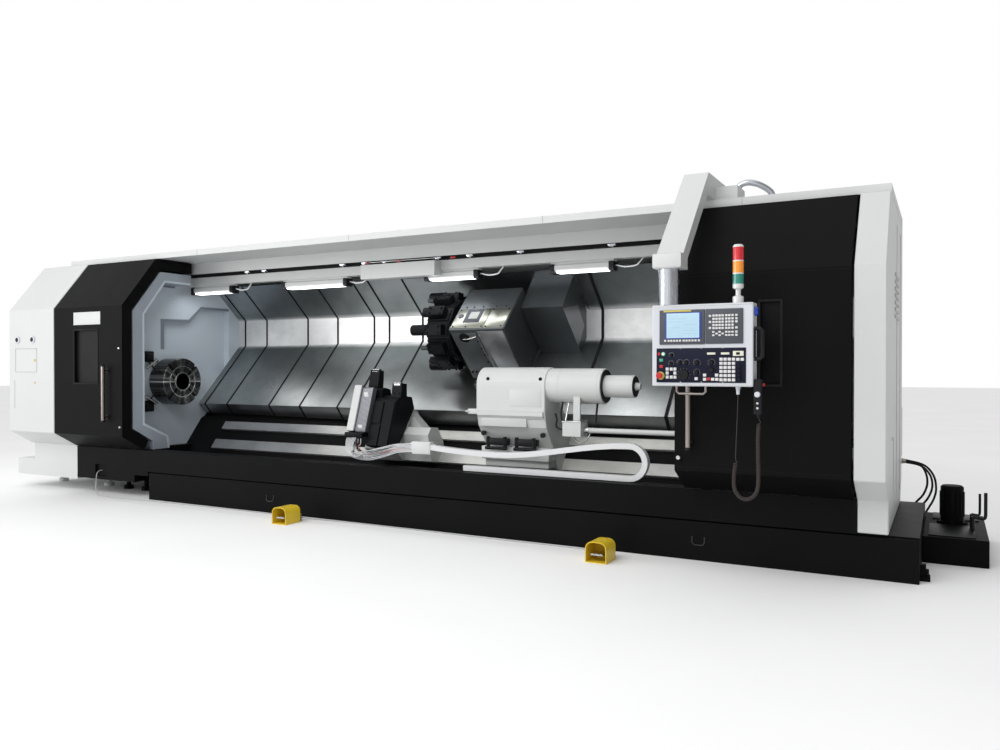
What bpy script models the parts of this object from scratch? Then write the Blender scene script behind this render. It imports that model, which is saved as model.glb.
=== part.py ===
"""Slant-bed turning machine with sliding doors, turret, tailstock and steady rest.

Metres, +Z up. The floor is z = 0 and the spindle axis runs along X above y = 0.
The operator stands on the -Y side. The headstock is at the -X end.
"""
import math

import bmesh
import bpy
from mathutils import Matrix, Vector

for old_object in list(bpy.data.objects):
    bpy.data.objects.remove(old_object, do_unlink=True)

# Clearances
SEAT = 0.0003

# Machine line
AXIS_Z = 1.238
FLOOR_BOX_TOP = 0.280
APRON_BOTTOM = 0.292
APRON_TOP = 0.515
APRON_FRONT = -0.540
APRON_THICK = 0.040
REAR = 1.220

# Enclosure outline, seen along X
FRONT = -0.800
LOW_CREASE_Z = 0.675
HIGH_CREASE_Z = 2.040
TOP_FRONT_Y = -0.380
TOP_Z = 2.572
DOOR_TOP_Z = TOP_Z - 0.007
DOOR_BOTTOM_Z = APRON_TOP + 0.006
DOOR_FOOT_Y = APRON_FRONT + 0.010
DOOR_THICK = 0.115
DOOR_TOP_BACK_Y = 0.100
INNER_GAP = 0.022

# Stations along X
CABINET_X = (-4.720, -3.910)
LEFT_DOOR_X = (-3.900, -2.780)
RIGHT_DOOR_X = (3.040, 4.180)
COLUMN_X = (4.197, 4.385)
PLINTH_X = (-2.700, 4.565)
WALL_X = -3.050
PORTAL_DEPTH = 0.260
PORTAL_X = WALL_X + PORTAL_DEPTH
BASE_X = (-4.980, -3.885)
BASE_STEP_X = -4.660
BASE_BOTTOM_Z = 0.145
BASE_STEP_Z = 0.330
BED_STEP_X = -2.930

# Roof and the beam under it
ROOF_X = (-4.270, 4.385)
ROOF_FRONT_Y = -0.340
ROOF_THICK = 0.058
RAIL_Y = (0.240, 0.330)
RAIL_Z = (2.330, 2.420)
RAIL_BOX_X = (-0.420, 0.450)
LAMP_SPANS = ((-2.950, -2.305), (-1.565, -0.696), (0.257, 0.851), (1.597, 2.194))
BEAM_Y = (0.165, 0.220)
BEAM_Z = 2.450

# Slanted bed, seen along X
BED_SLOPE = math.radians(52.4)
BED_LOW_POINT = (0.220, 0.474)
BED_BEND = (0.520, 0.825)
BED_BACK_Y = REAR - 0.050
FLANGE_DEPTH = 0.160
FLANGE_THICK = 0.020
TROUGH_Z = 0.330
TROUGH_BACK_Y = 0.110
WAY_HEIGHT = 0.032
LOWER_WAY = (0.000, 0.118)
UPPER_WAY = (0.257, 0.360)
WAY_X = (-2.590, 4.190)
BED_N = -0.660
RAIL_TOP_N = -0.600
RAIL_U = (0.300, 0.800)
RAIL_HALF_WIDTH = 0.040

# Telescopic covers, seen along X: lip, lower slant, band, upper slant of the innermost sheet
COVER_LINE = ((0.523, 0.864), (0.436, 0.974), (1.075, 1.657), (1.075, 1.975), (0.660, 2.353))
COVER_SHEET = 0.003
COVER_STEP = COVER_SHEET + 0.005
BULKHEAD = 0.012
CARRIAGE_LAYER = 7
LEFT_FIXED_X = (WALL_X + SEAT, -2.850)
LEFT_EDGES = (-2.931, -2.567, -1.911, -1.457, -0.931, -0.718)
LEFT_LENGTH = 0.880
RIGHT_EDGES = (2.620, 3.100, 3.600)
RIGHT_LENGTH = 1.280
RIGHT_FIXED_X = (2.910, COLUMN_X[0] - SEAT)

# Carriage
CARRIAGE_X = (-0.271, 1.800)
SADDLE_GAP = 0.180
SADDLE_X = (0.740, RIGHT_EDGES[0] - RIGHT_LENGTH - SADDLE_GAP)

# Turret, in slide coordinates: u runs up and back along the slide, n stands square to it
TURRET_U = 0.728
TURRET_X = (0.300, 0.560)
TURRET_RADIUS = 0.290
STATIONS = 12
HOUSING_X = (0.620, 1.200)
HOUSING_U = (0.430, 1.000)
HOUSING_N = (-0.360, 0.292)
PLATFORM_U = 0.350
PLATFORM_X = (0.660, 1.222)
HOOD_X = (1.206, 1.630)
HOOD_U = 0.813
HOOD_N = 0.195
HOOD_TOP_Z = 2.250

# Chuck
CHUCK_RADIUS = 0.260
CHUCK_X = (WALL_X + 0.0053, -2.810)
CHUCK_BORE = 0.087
NOSE_RADIUS = 0.160

# Tailstock
TAIL_X = (1.070, 1.735)
TAIL_RADIUS = 0.157
TAIL_SHOULDER_Z = 1.020
DRIVE_X = 2.225
DRIVE_RADIUS = 0.148
MOTOR_X = 2.480
MOTOR_RADIUS = 0.092
QUILL_RADIUS = 0.058
QUILL_TIP_X = 0.964
QUILL_LENGTH = 0.560

# Steady rest
STEADY_X = (-0.080, 0.175)
STEADY_LOBE_X = (-0.215, -0.030)
STEADY_ARM_WIDTH = 0.110
STEADY_BASE_X = (-0.215, 0.130)
STEADY_FOOT_END = 0.440
VALVES_X = (-0.205, STEADY_X[0] - SEAT)
VALVE_BAR_X = (-0.290, -0.195)
CHAIN_X = 0.760
CHAIN_Y = (-0.450, -0.390)
CHAIN_BOX_Z = (0.641, 0.745)
BRACKET_Z = (0.650, 0.700)

# Control panel on its arm
PANEL_X = (3.006, 3.655)
PANEL_Z = (1.272, 1.800)
PANEL_FRONT = -1.200
PANEL_DEPTH = 0.120
LOOP_X = (3.155, 3.345)
GRIP_Z = (1.447, 1.637)
TUBE_X = 3.100
TUBE_Y = -1.130
TUBE_RADIUS = 0.070
HEAD_Z = (2.040, 2.135)
ARM_X = (3.020, 3.200)

# Coolant tank
TANK_X = (4.5653, 4.980)
TANK_Y = (0.160, 1.280)
TANK_Z = 0.190
PUMP_PLACE = (4.755, 0.800)

# Foot switches
GUARD_SIZE = (0.160, 0.190, 0.150)
GUARD_WALL = 0.006
GUARD_CORNER = 0.050
SWITCH_DEPTH = 0.055

# Loose leads: radius, then the places that each one passes through
HOSE_RADIUS = 0.009
HOSE_START_X = 4.3703
HOSES = (
    (
        (4.3703, 1.365, 0.600), (4.400, 1.365, 0.600), (4.500, 1.375, 0.585), (4.556, 1.385, 0.520),
        (4.575, 1.390, 0.420), (4.545, 1.390, 0.320), (4.480, 1.370, 0.240), (4.430, 1.300, 0.165),
        (4.415, 1.190, 0.120), (4.415, 1.150, 0.110), (4.415, 1.125, 0.110), (4.415, 1.1003, 0.110),
    ),
    (
        (4.3703, 1.400, 0.585), (4.400, 1.400, 0.585), (4.520, 1.405, 0.562), (4.592, 1.410, 0.490),
        (4.612, 1.410, 0.390), (4.580, 1.405, 0.290), (4.520, 1.380, 0.210), (4.482, 1.300, 0.145),
        (4.475, 1.190, 0.115), (4.475, 1.150, 0.110), (4.475, 1.125, 0.110), (4.475, 1.1003, 0.110),
    ),
    (
        (4.3703, 1.435, 0.600), (4.400, 1.435, 0.600), (4.545, 1.435, 0.565), (4.620, 1.435, 0.480),
        (4.640, 1.435, 0.370), (4.622, 1.425, 0.280), (4.580, 1.390, 0.200), (4.545, 1.300, 0.140),
        (4.535, 1.190, 0.115), (4.535, 1.150, 0.110), (4.535, 1.125, 0.110), (4.535, 1.1003, 0.110),
    ),
)
PEDAL_CABLE_RADIUS = 0.0045
PEDAL_CABLES = (
    ((-3.487, -0.5153, 0.262), (-3.487, -0.550, 0.262), (-3.484, -0.584, 0.235), (-3.474, -0.602, 0.160),
     (-3.450, -0.622, 0.070), (-3.400, -0.640, 0.018), (-3.320, -0.650, 0.0055), (-3.200, -0.652, 0.0055),
     (-2.986, -0.645, 0.0055), (-2.648, -0.626, 0.0055), (-2.113, -0.605, 0.0055), (-1.600, -0.596, 0.0055),
     (-1.100, -0.594, 0.0055), (-0.780, -0.600, 0.0055), (-0.600, -0.612, 0.0060), (-0.545, -0.635, 0.0130),
     (-0.525, -0.665, 0.0200), (-0.525, -0.682, 0.0200), (-0.525, -0.6997, 0.0200)),
    ((-0.475, -0.6997, 0.0200), (-0.475, -0.682, 0.0200), (-0.475, -0.665, 0.0200), (-0.455, -0.635, 0.0130),
     (-0.400, -0.612, 0.0060), (-0.200, -0.598, 0.0055),
     (0.250, -0.590, 0.0055), (0.900, -0.594, 0.0055), (1.500, -0.600, 0.0055), (2.050, -0.598, 0.0055),
     (2.360, -0.606, 0.0055), (2.460, -0.630, 0.0060),
     (2.505, -0.660, 0.0130), (2.520, -0.695, 0.0200), (2.520, -0.712, 0.0200), (2.520, -0.7297, 0.0200)),
)
PENDANT_RADIUS = 0.0035
PENDANT_CORD = (
    (3.553, -1.150, 1.2217), (3.549, -1.150, 1.100), (3.543, -1.150, 0.960), (3.538, -1.150, 0.8303),
)
COIL_RADIUS = 0.013
PENDANT_COIL = (
    (3.538, -1.150, 0.8300), (3.538, -1.150, 0.810), (3.538, -1.150, 0.790), (3.532, -1.150, 0.740),
    (3.528, -1.150, 0.690), (3.532, -1.150, 0.625),
    (3.560, -1.150, 0.578), (3.602, -1.150, 0.562), (3.645, -1.150, 0.580), (3.672, -1.150, 0.625),
    (3.679, -1.150, 0.700), (3.677, -1.150, 0.820), (3.676, -1.150, 0.950),
    (3.680, -1.150, 1.030), (3.680, -1.150, 1.055), (3.680, -1.150, 1.0797),
)
CONDUIT_RADIUS = 0.022
CONDUIT = (
    (3.330, -0.160, 2.700), (3.345, -0.160, 2.752), (3.400, -0.152, 2.772), (3.465, -0.135, 2.760),
    (3.520, -0.105, 2.732), (3.556, -0.078, 2.700), (3.566, -0.066, 2.670),
    (3.566, -0.066, 2.650), (3.566, -0.066, 2.6303),
)


def material(name, colour, roughness, metallic=0.0):
    made = bpy.data.materials.new(name)
    made.use_nodes = True
    shader = made.node_tree.nodes["Principled BSDF"]
    shader.inputs["Base Color"].default_value = (*colour, 1.0)
    shader.inputs["Roughness"].default_value = roughness
    shader.inputs["Metallic"].default_value = metallic
    return made


WHITE = ((0.80, 0.82, 0.80), 0.45, 0.0)
BLACK = ((0.012, 0.012, 0.013), 0.40, 0.0)
GREY = ((0.52, 0.54, 0.57), 0.45, 0.0)
STEEL = ((0.55, 0.55, 0.54), 0.32, 1.0)
DARK_STEEL = ((0.10, 0.10, 0.10), 0.35, 0.8)
YELLOW = ((0.85, 0.62, 0.04), 0.45, 0.0)
BRONZE = ((0.42, 0.36, 0.32), 0.30, 1.0)
GLASS = ((0.02, 0.02, 0.02), 0.08, 0.0)
PALE = ((0.62, 0.64, 0.66), 0.40, 0.0)
RUBBER = ((0.02, 0.02, 0.02), 0.60, 0.0)
LIGHT = ((0.95, 0.95, 0.90), 0.30, 0.0)


def piece(name, shape, finish, origin=(0, 0, 0)):
    """Turn a bmesh in machine coordinates into an object whose origin is the given point."""
    bmesh.ops.recalc_face_normals(shape, faces=shape.faces[:])
    shape.transform(Matrix.Translation(-Vector(origin)))
    mesh = bpy.data.meshes.new(name)
    shape.to_mesh(mesh)
    shape.free()
    made = bpy.data.objects.new(name, mesh)
    bpy.context.collection.objects.link(made)
    made.location = origin
    if finish is not None:
        mesh.materials.append(material(name, *finish))
    return made


def prism(outline, low, high, axis="X"):
    """Closed outline extruded along one axis; its points are the two other coordinates in order."""
    shape = bmesh.new()
    place = {
        "X": lambda a, b: (low, a, b),
        "Y": lambda a, b: (a, low, b),
        "Z": lambda a, b: (a, b, low),
    }[axis]
    face = shape.faces.new([shape.verts.new(place(a, b)) for a, b in outline])
    made = bmesh.ops.extrude_face_region(shape, geom=[face])
    moved = [v for v in made["geom"] if isinstance(v, bmesh.types.BMVert)]
    step = {"X": (high - low, 0, 0), "Y": (0, high - low, 0), "Z": (0, 0, high - low)}[axis]
    bmesh.ops.translate(shape, verts=moved, vec=step)
    return shape


def block(xs, ys, zs):
    return prism([(ys[0], zs[0]), (ys[1], zs[0]), (ys[1], zs[1]), (ys[0], zs[1])], xs[0], xs[1])


def turned(profile, centre, axis="X", segments=32):
    """Spin a profile of (radius, distance) points about a line through centre."""
    shape = bmesh.new()
    rings = []
    for radius, along in profile:
        if radius < 1e-6:
            rings.append([shape.verts.new((along, 0, 0))])
            continue
        ring = []
        for i in range(segments):
            turn = 2 * math.pi * i / segments
            ring.append(shape.verts.new((along, radius * math.cos(turn), radius * math.sin(turn))))
        rings.append(ring)
    for first, second in zip(rings, rings[1:]):
        for i in range(segments):
            j = (i + 1) % segments
            corners = [first[i % len(first)], first[j % len(first)]]
            corners += [second[j % len(second)], second[i % len(second)]]
            shape.faces.new(list(dict.fromkeys(corners)))
    for end in (rings[0], rings[-1]):
        if len(end) > 1:
            shape.faces.new(end)
    turn = {
        "X": Matrix.Identity(4),
        "Y": Matrix.Rotation(math.pi / 2, 4, "Z"),
        "Z": Matrix.Rotation(-math.pi / 2, 4, "Y"),
    }
    shape.transform(Matrix.Translation(centre) @ turn[axis])
    return shape


def rod(radius, low, high, centre, axis="X", segments=24):
    return turned([(radius, low), (radius, high)], centre, axis, segments)


def smooth_line(points, most=78, spacing=None):
    """Evenly spaced places on a smooth curve through the points; the end stretches stay straight."""
    spots = [Vector(point) for point in points]
    ends = [spots[0] * 2 - spots[1]] + spots + [spots[-1] * 2 - spots[-2]]
    fine = []
    for a, b, c, d in zip(ends, ends[1:], ends[2:], ends[3:]):
        for i in range(24):
            t = i / 24
            linear = (c - a) * t
            square = (2 * a - 5 * b + 4 * c - d) * t ** 2
            cubic = (3 * b - a - 3 * c + d) * t ** 3
            fine.append(0.5 * (2 * b + linear + square + cubic))
    fine.append(spots[-1])
    reach = [0.0]
    for first, second in zip(fine, fine[1:]):
        reach.append(reach[-1] + (second - first).length)
    start, stop = reach[24], reach[-25]
    count = min(most - 2, max(4, round((stop - start) / spacing)))
    line = [spots[0]]
    at = 0
    for k in range(count + 1):
        goal = start + (stop - start) * k / count
        while at < len(reach) - 2 and reach[at + 1] < goal:
            at += 1
        part = (goal - reach[at]) / (reach[at + 1] - reach[at])
        line.append(fine[at].lerp(fine[at + 1], part))
    line.append(spots[-1])
    return line


def lead(name, points, radius):
    """A loose lead: a round solid along a smooth line, closed at both ends."""
    curve = bpy.data.curves.new(name, "CURVE")
    curve.dimensions = "3D"
    curve.bevel_depth = radius
    curve.bevel_resolution = 2
    curve.use_fill_caps = True
    curve.render_resolution_u = 0
    line = smooth_line(points, 78, 5 * radius)
    spline = curve.splines.new("POLY")
    spline.points.add(len(line) - 1)
    for spot, place in zip(spline.points, line):
        spot.co = (*place, 1)
    made = bpy.data.objects.new(name, curve)
    bpy.context.collection.objects.link(made)
    curve.materials.append(material(name, *RUBBER))
    return made


def tube(points, radius, segments=12, smooth=True):
    """A bent round bar as a closed mesh."""
    line = smooth_line(points, 78, 0.8 * radius) if smooth else [Vector(point) for point in points]
    shape = bmesh.new()
    rings = []
    side = None
    for i, spot in enumerate(line):
        ahead = (line[min(i + 1, len(line) - 1)] - line[max(i - 1, 0)]).normalized()
        if side is None:
            side = ahead.orthogonal().normalized()
        side = (side - ahead * side.dot(ahead)).normalized()
        other = ahead.cross(side)
        ring = []
        for k in range(segments):
            turn = 2 * math.pi * k / segments
            ring.append(shape.verts.new(spot + radius * (math.cos(turn) * side + math.sin(turn) * other)))
        rings.append(ring)
    for first, second in zip(rings, rings[1:]):
        for i in range(segments):
            j = (i + 1) % segments
            shape.faces.new([first[i], first[j], second[j], second[i]])
    shape.faces.new(rings[0])
    shape.faces.new(rings[-1])
    return shape


def tool(target, shape, operation):
    """Keep a shape as a hidden wire object that a Boolean modifier on the target uses."""
    count = len([m for m in target.modifiers if m.type == "BOOLEAN"])
    helper = piece(f"{target.name}_shape_{count}", shape, None)
    helper.hide_render = True
    helper.display_type = "WIRE"
    step = target.modifiers.new(f"shape_{count}", "BOOLEAN")
    step.operation = operation
    step.solver = "EXACT"
    step.object = helper
    return helper


def add(target, shape):
    return tool(target, shape, "UNION")


def cut(target, shape):
    return tool(target, shape, "DIFFERENCE")


def soften(target, width, segments=2):
    """Round the sharp edges, ahead of any Boolean on the same object."""
    step = target.modifiers.new("rounded_edges", "BEVEL")
    step.width = width
    step.segments = segments
    step.limit_method = "ANGLE"
    step.angle_limit = math.radians(40)
    return target


def bed_point(along, height):
    """A point on the lower bed slope: distance up the slope and height square to it."""
    y = BED_LOW_POINT[0] + along * math.cos(BED_SLOPE) - height * math.sin(BED_SLOPE)
    z = BED_LOW_POINT[1] + along * math.sin(BED_SLOPE) + height * math.cos(BED_SLOPE)
    return (y, z)


def slide_point(u, n):
    """A point in the turret slide's coordinates, measured from the spindle axis."""
    half = math.sqrt(0.5)
    return ((u - n) * half, AXIS_Z + (u + n) * half)


def slide_block(us, ns, xs):
    corners = [(us[0], ns[0]), (us[1], ns[0]), (us[1], ns[1]), (us[0], ns[1])]
    return prism([slide_point(u, n) for u, n in corners], xs[0], xs[1])


def offset_line(points, distance):
    """Shift an open line to its right by a distance, with mitred corners."""
    moved = []
    for i, point in enumerate(points):
        normals = []
        for j in (i - 1, i):
            if 0 <= j < len(points) - 1:
                run = Vector(points[j + 1]) - Vector(points[j])
                normals.append(Vector((run.y, -run.x)).normalized())
        mean = sum(normals, Vector((0, 0))) / len(normals)
        shift = mean * (distance / mean.length_squared)
        moved.append((point[0] + shift.x, point[1] + shift.y))
    return moved


def enclosure_outline():
    """The front of the cabinet and column: upright, low slant, upright front and high slant."""
    return [(DOOR_FOOT_Y, APRON_TOP), (FRONT, LOW_CREASE_Z), (FRONT, HIGH_CREASE_Z), (TOP_FRONT_Y, TOP_Z)]


def inside_outline(depth):
    """The enclosure's front moved inwards, for what stands behind the doors."""
    return offset_line(enclosure_outline(), depth)


def door_outline():
    """A bent panel: low slant, upright front, high slant and flat top."""
    outside = [(DOOR_FOOT_Y - 0.010, DOOR_BOTTOM_Z), (FRONT, LOW_CREASE_Z), (FRONT, HIGH_CREASE_Z),
               (TOP_FRONT_Y, DOOR_TOP_Z), (DOOR_TOP_BACK_Y, DOOR_TOP_Z)]
    return outside + offset_line(outside, DOOR_THICK)[::-1]


def sliding_door(side, xs, handle_x, window_x, window_z, handle_z):
    door = piece(f"{side}_door", prism(door_outline(), xs[0], xs[1]), BLACK, (xs[0], FRONT, 0))
    cut(door, block(window_x, (FRONT - 0.05, FRONT + DOOR_THICK + 0.05), window_z))
    for inset in (0.12, xs[1] - xs[0] - 0.20):
        shoe = (xs[0] + inset, xs[0] + inset + 0.08)
        shoe_y = (APRON_FRONT + 0.008, APRON_FRONT + 0.033)
        add(door, block(shoe, shoe_y, (APRON_TOP + SEAT, APRON_TOP + 0.085)))
        add(door, block(shoe, (DOOR_TOP_BACK_Y - 0.01, BEAM_Y[0] - SEAT), (BEAM_Z + 0.035, BEAM_Z + 0.080)))
    pane_y = FRONT + 0.030
    pane = block((window_x[0] + SEAT, window_x[1] - SEAT), (pane_y, pane_y + 0.012),
                 (window_z[0] + SEAT, window_z[1] - SEAT))
    piece(f"{side}_window", pane, GLASS, (window_x[0], pane_y, 0))
    return door_handle(side, handle_x, handle_z)


def door_handle(side, x, zs):
    radius = 0.018
    stand = FRONT - 0.055
    shape = rod(radius, zs[0], zs[1], (x, stand, 0), "Z", 16)
    bar = piece(f"{side}_door_handle", shape, BRONZE, (x, stand, zs[0]))
    for z in (zs[0] + 0.05, zs[1] - 0.05):
        add(bar, rod(0.012, stand, FRONT - SEAT, (x, 0, z), "Y", 12))
    return bar


def plinth():
    outline = [
        (APRON_FRONT, 0),
        (APRON_FRONT, FLOOR_BOX_TOP),
        (APRON_FRONT + APRON_THICK, FLOOR_BOX_TOP),
        (APRON_FRONT + APRON_THICK, APRON_BOTTOM),
        (REAR - 0.120, APRON_BOTTOM),
        (REAR - 0.120, 0),
    ]
    floor_box = piece("plinth", prism(outline, *PLINTH_X), BLACK)
    end = PLINTH_X[1]
    bracket_y = APRON_FRONT + 0.110
    add(floor_box, block((end - 0.010, end + 0.060), (bracket_y, bracket_y + 0.080), (0, 0.030)))
    add(floor_box, block((end - 0.010, end + 0.035), (bracket_y + 0.015, bracket_y + 0.065), (0.010, 0.105)))


def bed():
    """One casting: the slanted bed with the carriage rails, and the block under the headstock."""
    inside_y = APRON_FRONT + APRON_THICK + SEAT
    outline = [
        (inside_y, APRON_BOTTOM + SEAT),
        (inside_y, TROUGH_Z),
        (TROUGH_BACK_Y, TROUGH_Z),
        (BED_BEND[0] - 0.050, BED_BEND[1] - 0.026),
        BED_BEND,
    ]
    for u in RAIL_U:
        outline += [
            slide_point(u - RAIL_HALF_WIDTH, BED_N),
            slide_point(u - RAIL_HALF_WIDTH, RAIL_TOP_N),
            slide_point(u + RAIL_HALF_WIDTH, RAIL_TOP_N),
            slide_point(u + RAIL_HALF_WIDTH, BED_N),
        ]
    back_y = BED_BACK_Y - SEAT
    outline += [(back_y, AXIS_Z + back_y + BED_N * math.sqrt(2)), (back_y, APRON_BOTTOM + SEAT)]
    casting = piece("bed", prism(outline, WALL_X + SEAT, COLUMN_X[0] - SEAT), BLACK)
    flange_y = APRON_FRONT + FLANGE_DEPTH + SEAT
    foot = [
        (inside_y, BASE_BOTTOM_Z + 0.02),
        (inside_y, APRON_TOP - FLANGE_THICK - SEAT),
        (flange_y, APRON_TOP - FLANGE_THICK - SEAT),
        (flange_y, APRON_TOP),
        (back_y, APRON_TOP),
        (back_y, BASE_BOTTOM_Z + 0.02),
    ]
    add(casting, prism(foot, BASE_X[1] + SEAT, BED_STEP_X - 0.02))
    for x in (-3.590, -3.290):
        for y in (-0.100, 0.900):
            add(casting, levelling_foot(x, y))
    for name, span in (("way_lower", LOWER_WAY), ("way_upper", UPPER_WAY)):
        corners = [bed_point(span[0], SEAT), bed_point(span[1], SEAT),
                   bed_point(span[1], WAY_HEIGHT), bed_point(span[0], WAY_HEIGHT)]
        soften(piece(name, prism(corners, *WAY_X), STEEL), 0.003, 1)


def levelling_foot(x, y):
    profile = [(0.055, 0), (0.055, 0.04), (0.025, 0.05), (0.025, BASE_BOTTOM_Z + 0.04)]
    return turned(profile, (x, y, 0), "Z", 16)


def apron():
    outline = [
        (BASE_X[1] + SEAT, BASE_BOTTOM_Z + 0.02),
        (BED_STEP_X, BASE_BOTTOM_Z + 0.02),
        (BED_STEP_X, 0.245),
        (PLINTH_X[0] - 0.020, 0.245),
        (PLINTH_X[0] - 0.020, APRON_BOTTOM),
        (COLUMN_X[0] - SEAT, APRON_BOTTOM),
        (COLUMN_X[0] - SEAT, APRON_TOP),
        (BASE_X[1] + SEAT, APRON_TOP),
    ]
    plate = piece("apron", prism(outline, APRON_FRONT, APRON_FRONT + APRON_THICK, "Y"), BLACK)
    flange_y = (APRON_FRONT + 0.01, APRON_FRONT + FLANGE_DEPTH)
    flange_x = (BASE_X[1] + SEAT, COLUMN_X[0] - SEAT)
    add(plate, block(flange_x, flange_y, (APRON_TOP - FLANGE_THICK, APRON_TOP)))
    cut(plate, block((-3.575, -3.400), (APRON_FRONT - 0.01, APRON_FRONT + 0.025), (0.200, 0.330)))


def headstock_base():
    outline = [
        (BASE_X[0], BASE_BOTTOM_Z),
        (BASE_X[1], BASE_BOTTOM_Z),
        (BASE_X[1], APRON_TOP + 0.005),
        (BASE_STEP_X, APRON_TOP + 0.005),
        (BASE_STEP_X, BASE_STEP_Z),
        (BASE_X[0], BASE_STEP_Z),
    ]
    base = piece("headstock_base", prism(outline, APRON_FRONT, 1.000, "Y"), WHITE)
    for x in (-4.850, -4.000):
        for y in (-0.050, 0.900):
            add(base, levelling_foot(x, y))


def enclosure():
    front = enclosure_outline()
    lift = APRON_TOP + 0.005 + SEAT
    top = [(TOP_FRONT_Y, TOP_Z - SEAT), (REAR, TOP_Z - SEAT)]
    outline = [(DOOR_FOOT_Y - 0.008, lift)] + front[1:-1] + top + [(REAR, 0.700), (REAR - 0.170, lift)]
    cabinet = piece("left_cabinet", prism(outline, *CABINET_X), WHITE)
    soften(cabinet, 0.006, 1)

    foot_z = APRON_BOTTOM + 0.008
    back = [(REAR, 0.500), (REAR - 0.170, 0.320), (REAR - 0.170, foot_z)]
    outline = [(APRON_FRONT, foot_z), (APRON_FRONT, APRON_TOP)] + front[1:-1] + top + back
    column = piece("right_end", prism(outline, *COLUMN_X), WHITE)
    soften(column, 0.006, 1)
    add(column, block((COLUMN_X[0] + 0.03, COLUMN_X[1] - 0.01), (REAR - 0.02, REAR + 0.35), (0.630, 1.045)))
    heel_x = (COLUMN_X[0] + 0.05, COLUMN_X[1] - 0.05)
    add(column, block(heel_x, (-0.300, 0.900), (APRON_BOTTOM + SEAT, 0.35)))
    manifold_x = (COLUMN_X[1] - 0.120, HOSE_START_X - SEAT)
    add(column, block(manifold_x, (REAR + 0.110, REAR + 0.250), (0.560, 0.650)))

    wall_x = (CABINET_X[1] + SEAT, COLUMN_X[0] - SEAT)
    piece("rear_wall", block(wall_x, (BED_BACK_Y, REAR), (APRON_BOTTOM, TOP_Z - SEAT)), WHITE)
    piece("roof", block(ROOF_X, (ROOF_FRONT_Y, REAR), (TOP_Z, TOP_Z + ROOF_THICK)), WHITE)

    inner_span = (WALL_X + SEAT, COLUMN_X[0] - SEAT)
    piece("door_beam", block((CABINET_X[1] + SEAT, inner_span[1]), BEAM_Y, (BEAM_Z, TOP_Z - SEAT)), WHITE)
    rail = piece("lamp_rail", block(inner_span, RAIL_Y, RAIL_Z), WHITE)
    for low, high in LAMP_SPANS:
        lamp = [
            (0.243, 2.262),
            (0.258, 2.245),
            (0.330, 2.245),
            (0.345, 2.262),
            (0.345, 2.298),
            (0.325, 2.312),
            (0.325, 2.345),
            (0.263, 2.345),
            (0.263, 2.312),
            (0.243, 2.298),
        ]
        add(rail, prism(lamp, low, high))
    add(rail, block(RAIL_BOX_X, (0.125, RAIL_Y[0] + 0.020), (2.270, 2.410)))


def headstock():
    sit = APRON_TOP + SEAT
    front = inside_outline(DOOR_THICK + INNER_GAP)
    top = DOOR_TOP_Z - DOOR_THICK - 0.020
    slant = (front[3][0] - front[2][0]) / (front[3][1] - front[2][1])
    top_y = front[2][0] + slant * (top - front[2][1])
    low_slant = (front[1][0] - front[0][0]) / (front[1][1] - front[0][1])
    low_z = front[0][1] + (-0.410 - front[0][0]) / low_slant
    outer = [(-0.410, sit), (-0.410, low_z), front[1], front[2], (top_y, top)]
    back_y = BED_BACK_Y - SEAT
    outline = outer + [(back_y, top), (back_y, sit)]
    housing = piece("headstock", prism(outline, BASE_X[1] + SEAT, WALL_X), GREY)
    recess = [
        (-0.100, 1.620),
        (-0.100, 1.940),
        (0.290, 1.950),
        (0.470, 2.110),
        (0.900, 2.110),
        (0.900, 1.330),
        (0.610, 1.330),
        (0.160, 1.620),
    ]
    cut(housing, prism(recess, WALL_X - 0.080, WALL_X + 0.05))
    add(housing, rod(NOSE_RADIUS, WALL_X - 0.02, CHUCK_X[0] - SEAT, (0, 0, AXIS_Z)))

    inner = [(0.100, top - 0.110), (-0.250, top - 0.110), (-0.520, 1.960), (-0.520, 0.800)]
    inner += [(-0.220, 0.655), (-0.200, sit)]
    piece("front_frame", prism(outer + [(0.100, top)] + inner, WALL_X + SEAT, PORTAL_X), GREY)


def chuck():
    face = CHUCK_X[1]
    profile = [
        (0.0, face - 0.12),
        (CHUCK_BORE, face - 0.12),
        (CHUCK_BORE, face),
        (CHUCK_RADIUS - 0.006, face),
        (CHUCK_RADIUS, face - 0.006),
        (CHUCK_RADIUS, CHUCK_X[0] + 0.006),
        (CHUCK_RADIUS - 0.006, CHUCK_X[0]),
        (0.0, CHUCK_X[0]),
    ]
    body = piece("chuck", turned(profile, (0, 0, AXIS_Z), "X", 48), STEEL, (CHUCK_X[0], 0, AXIS_Z))
    for i in range(4):
        for width, depth in ((0.014, 0.012), (0.026, 0.030)):
            slot = block((face - depth - 0.012, face + 0.01), (-width, width), (0.105, CHUCK_RADIUS + 0.02))
            if width > 0.02:
                slot = block((face - depth, face - 0.014), (-width, width), (0.105, CHUCK_RADIUS + 0.02))
            turn = Matrix.Rotation(math.radians(90 * i + 45), 4, "X")
            slot.transform(Matrix.Translation((0, 0, AXIS_Z)) @ turn)
            cut(body, slot)


def sheet_line(layer, depth=0.0):
    """The covers' outline seen along X, one clear step outwards for each layer."""
    return offset_line(COVER_LINE, depth - layer * COVER_STEP)


def slant_foot(line, u, n):
    """The point on a sheet line's lower slant that stands square above a slide point."""
    start = Vector(line[1])
    slope = (Vector(line[2]) - start).normalized()
    return tuple(start + slope * (Vector(slide_point(u, n)) - start).dot(slope))


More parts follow.
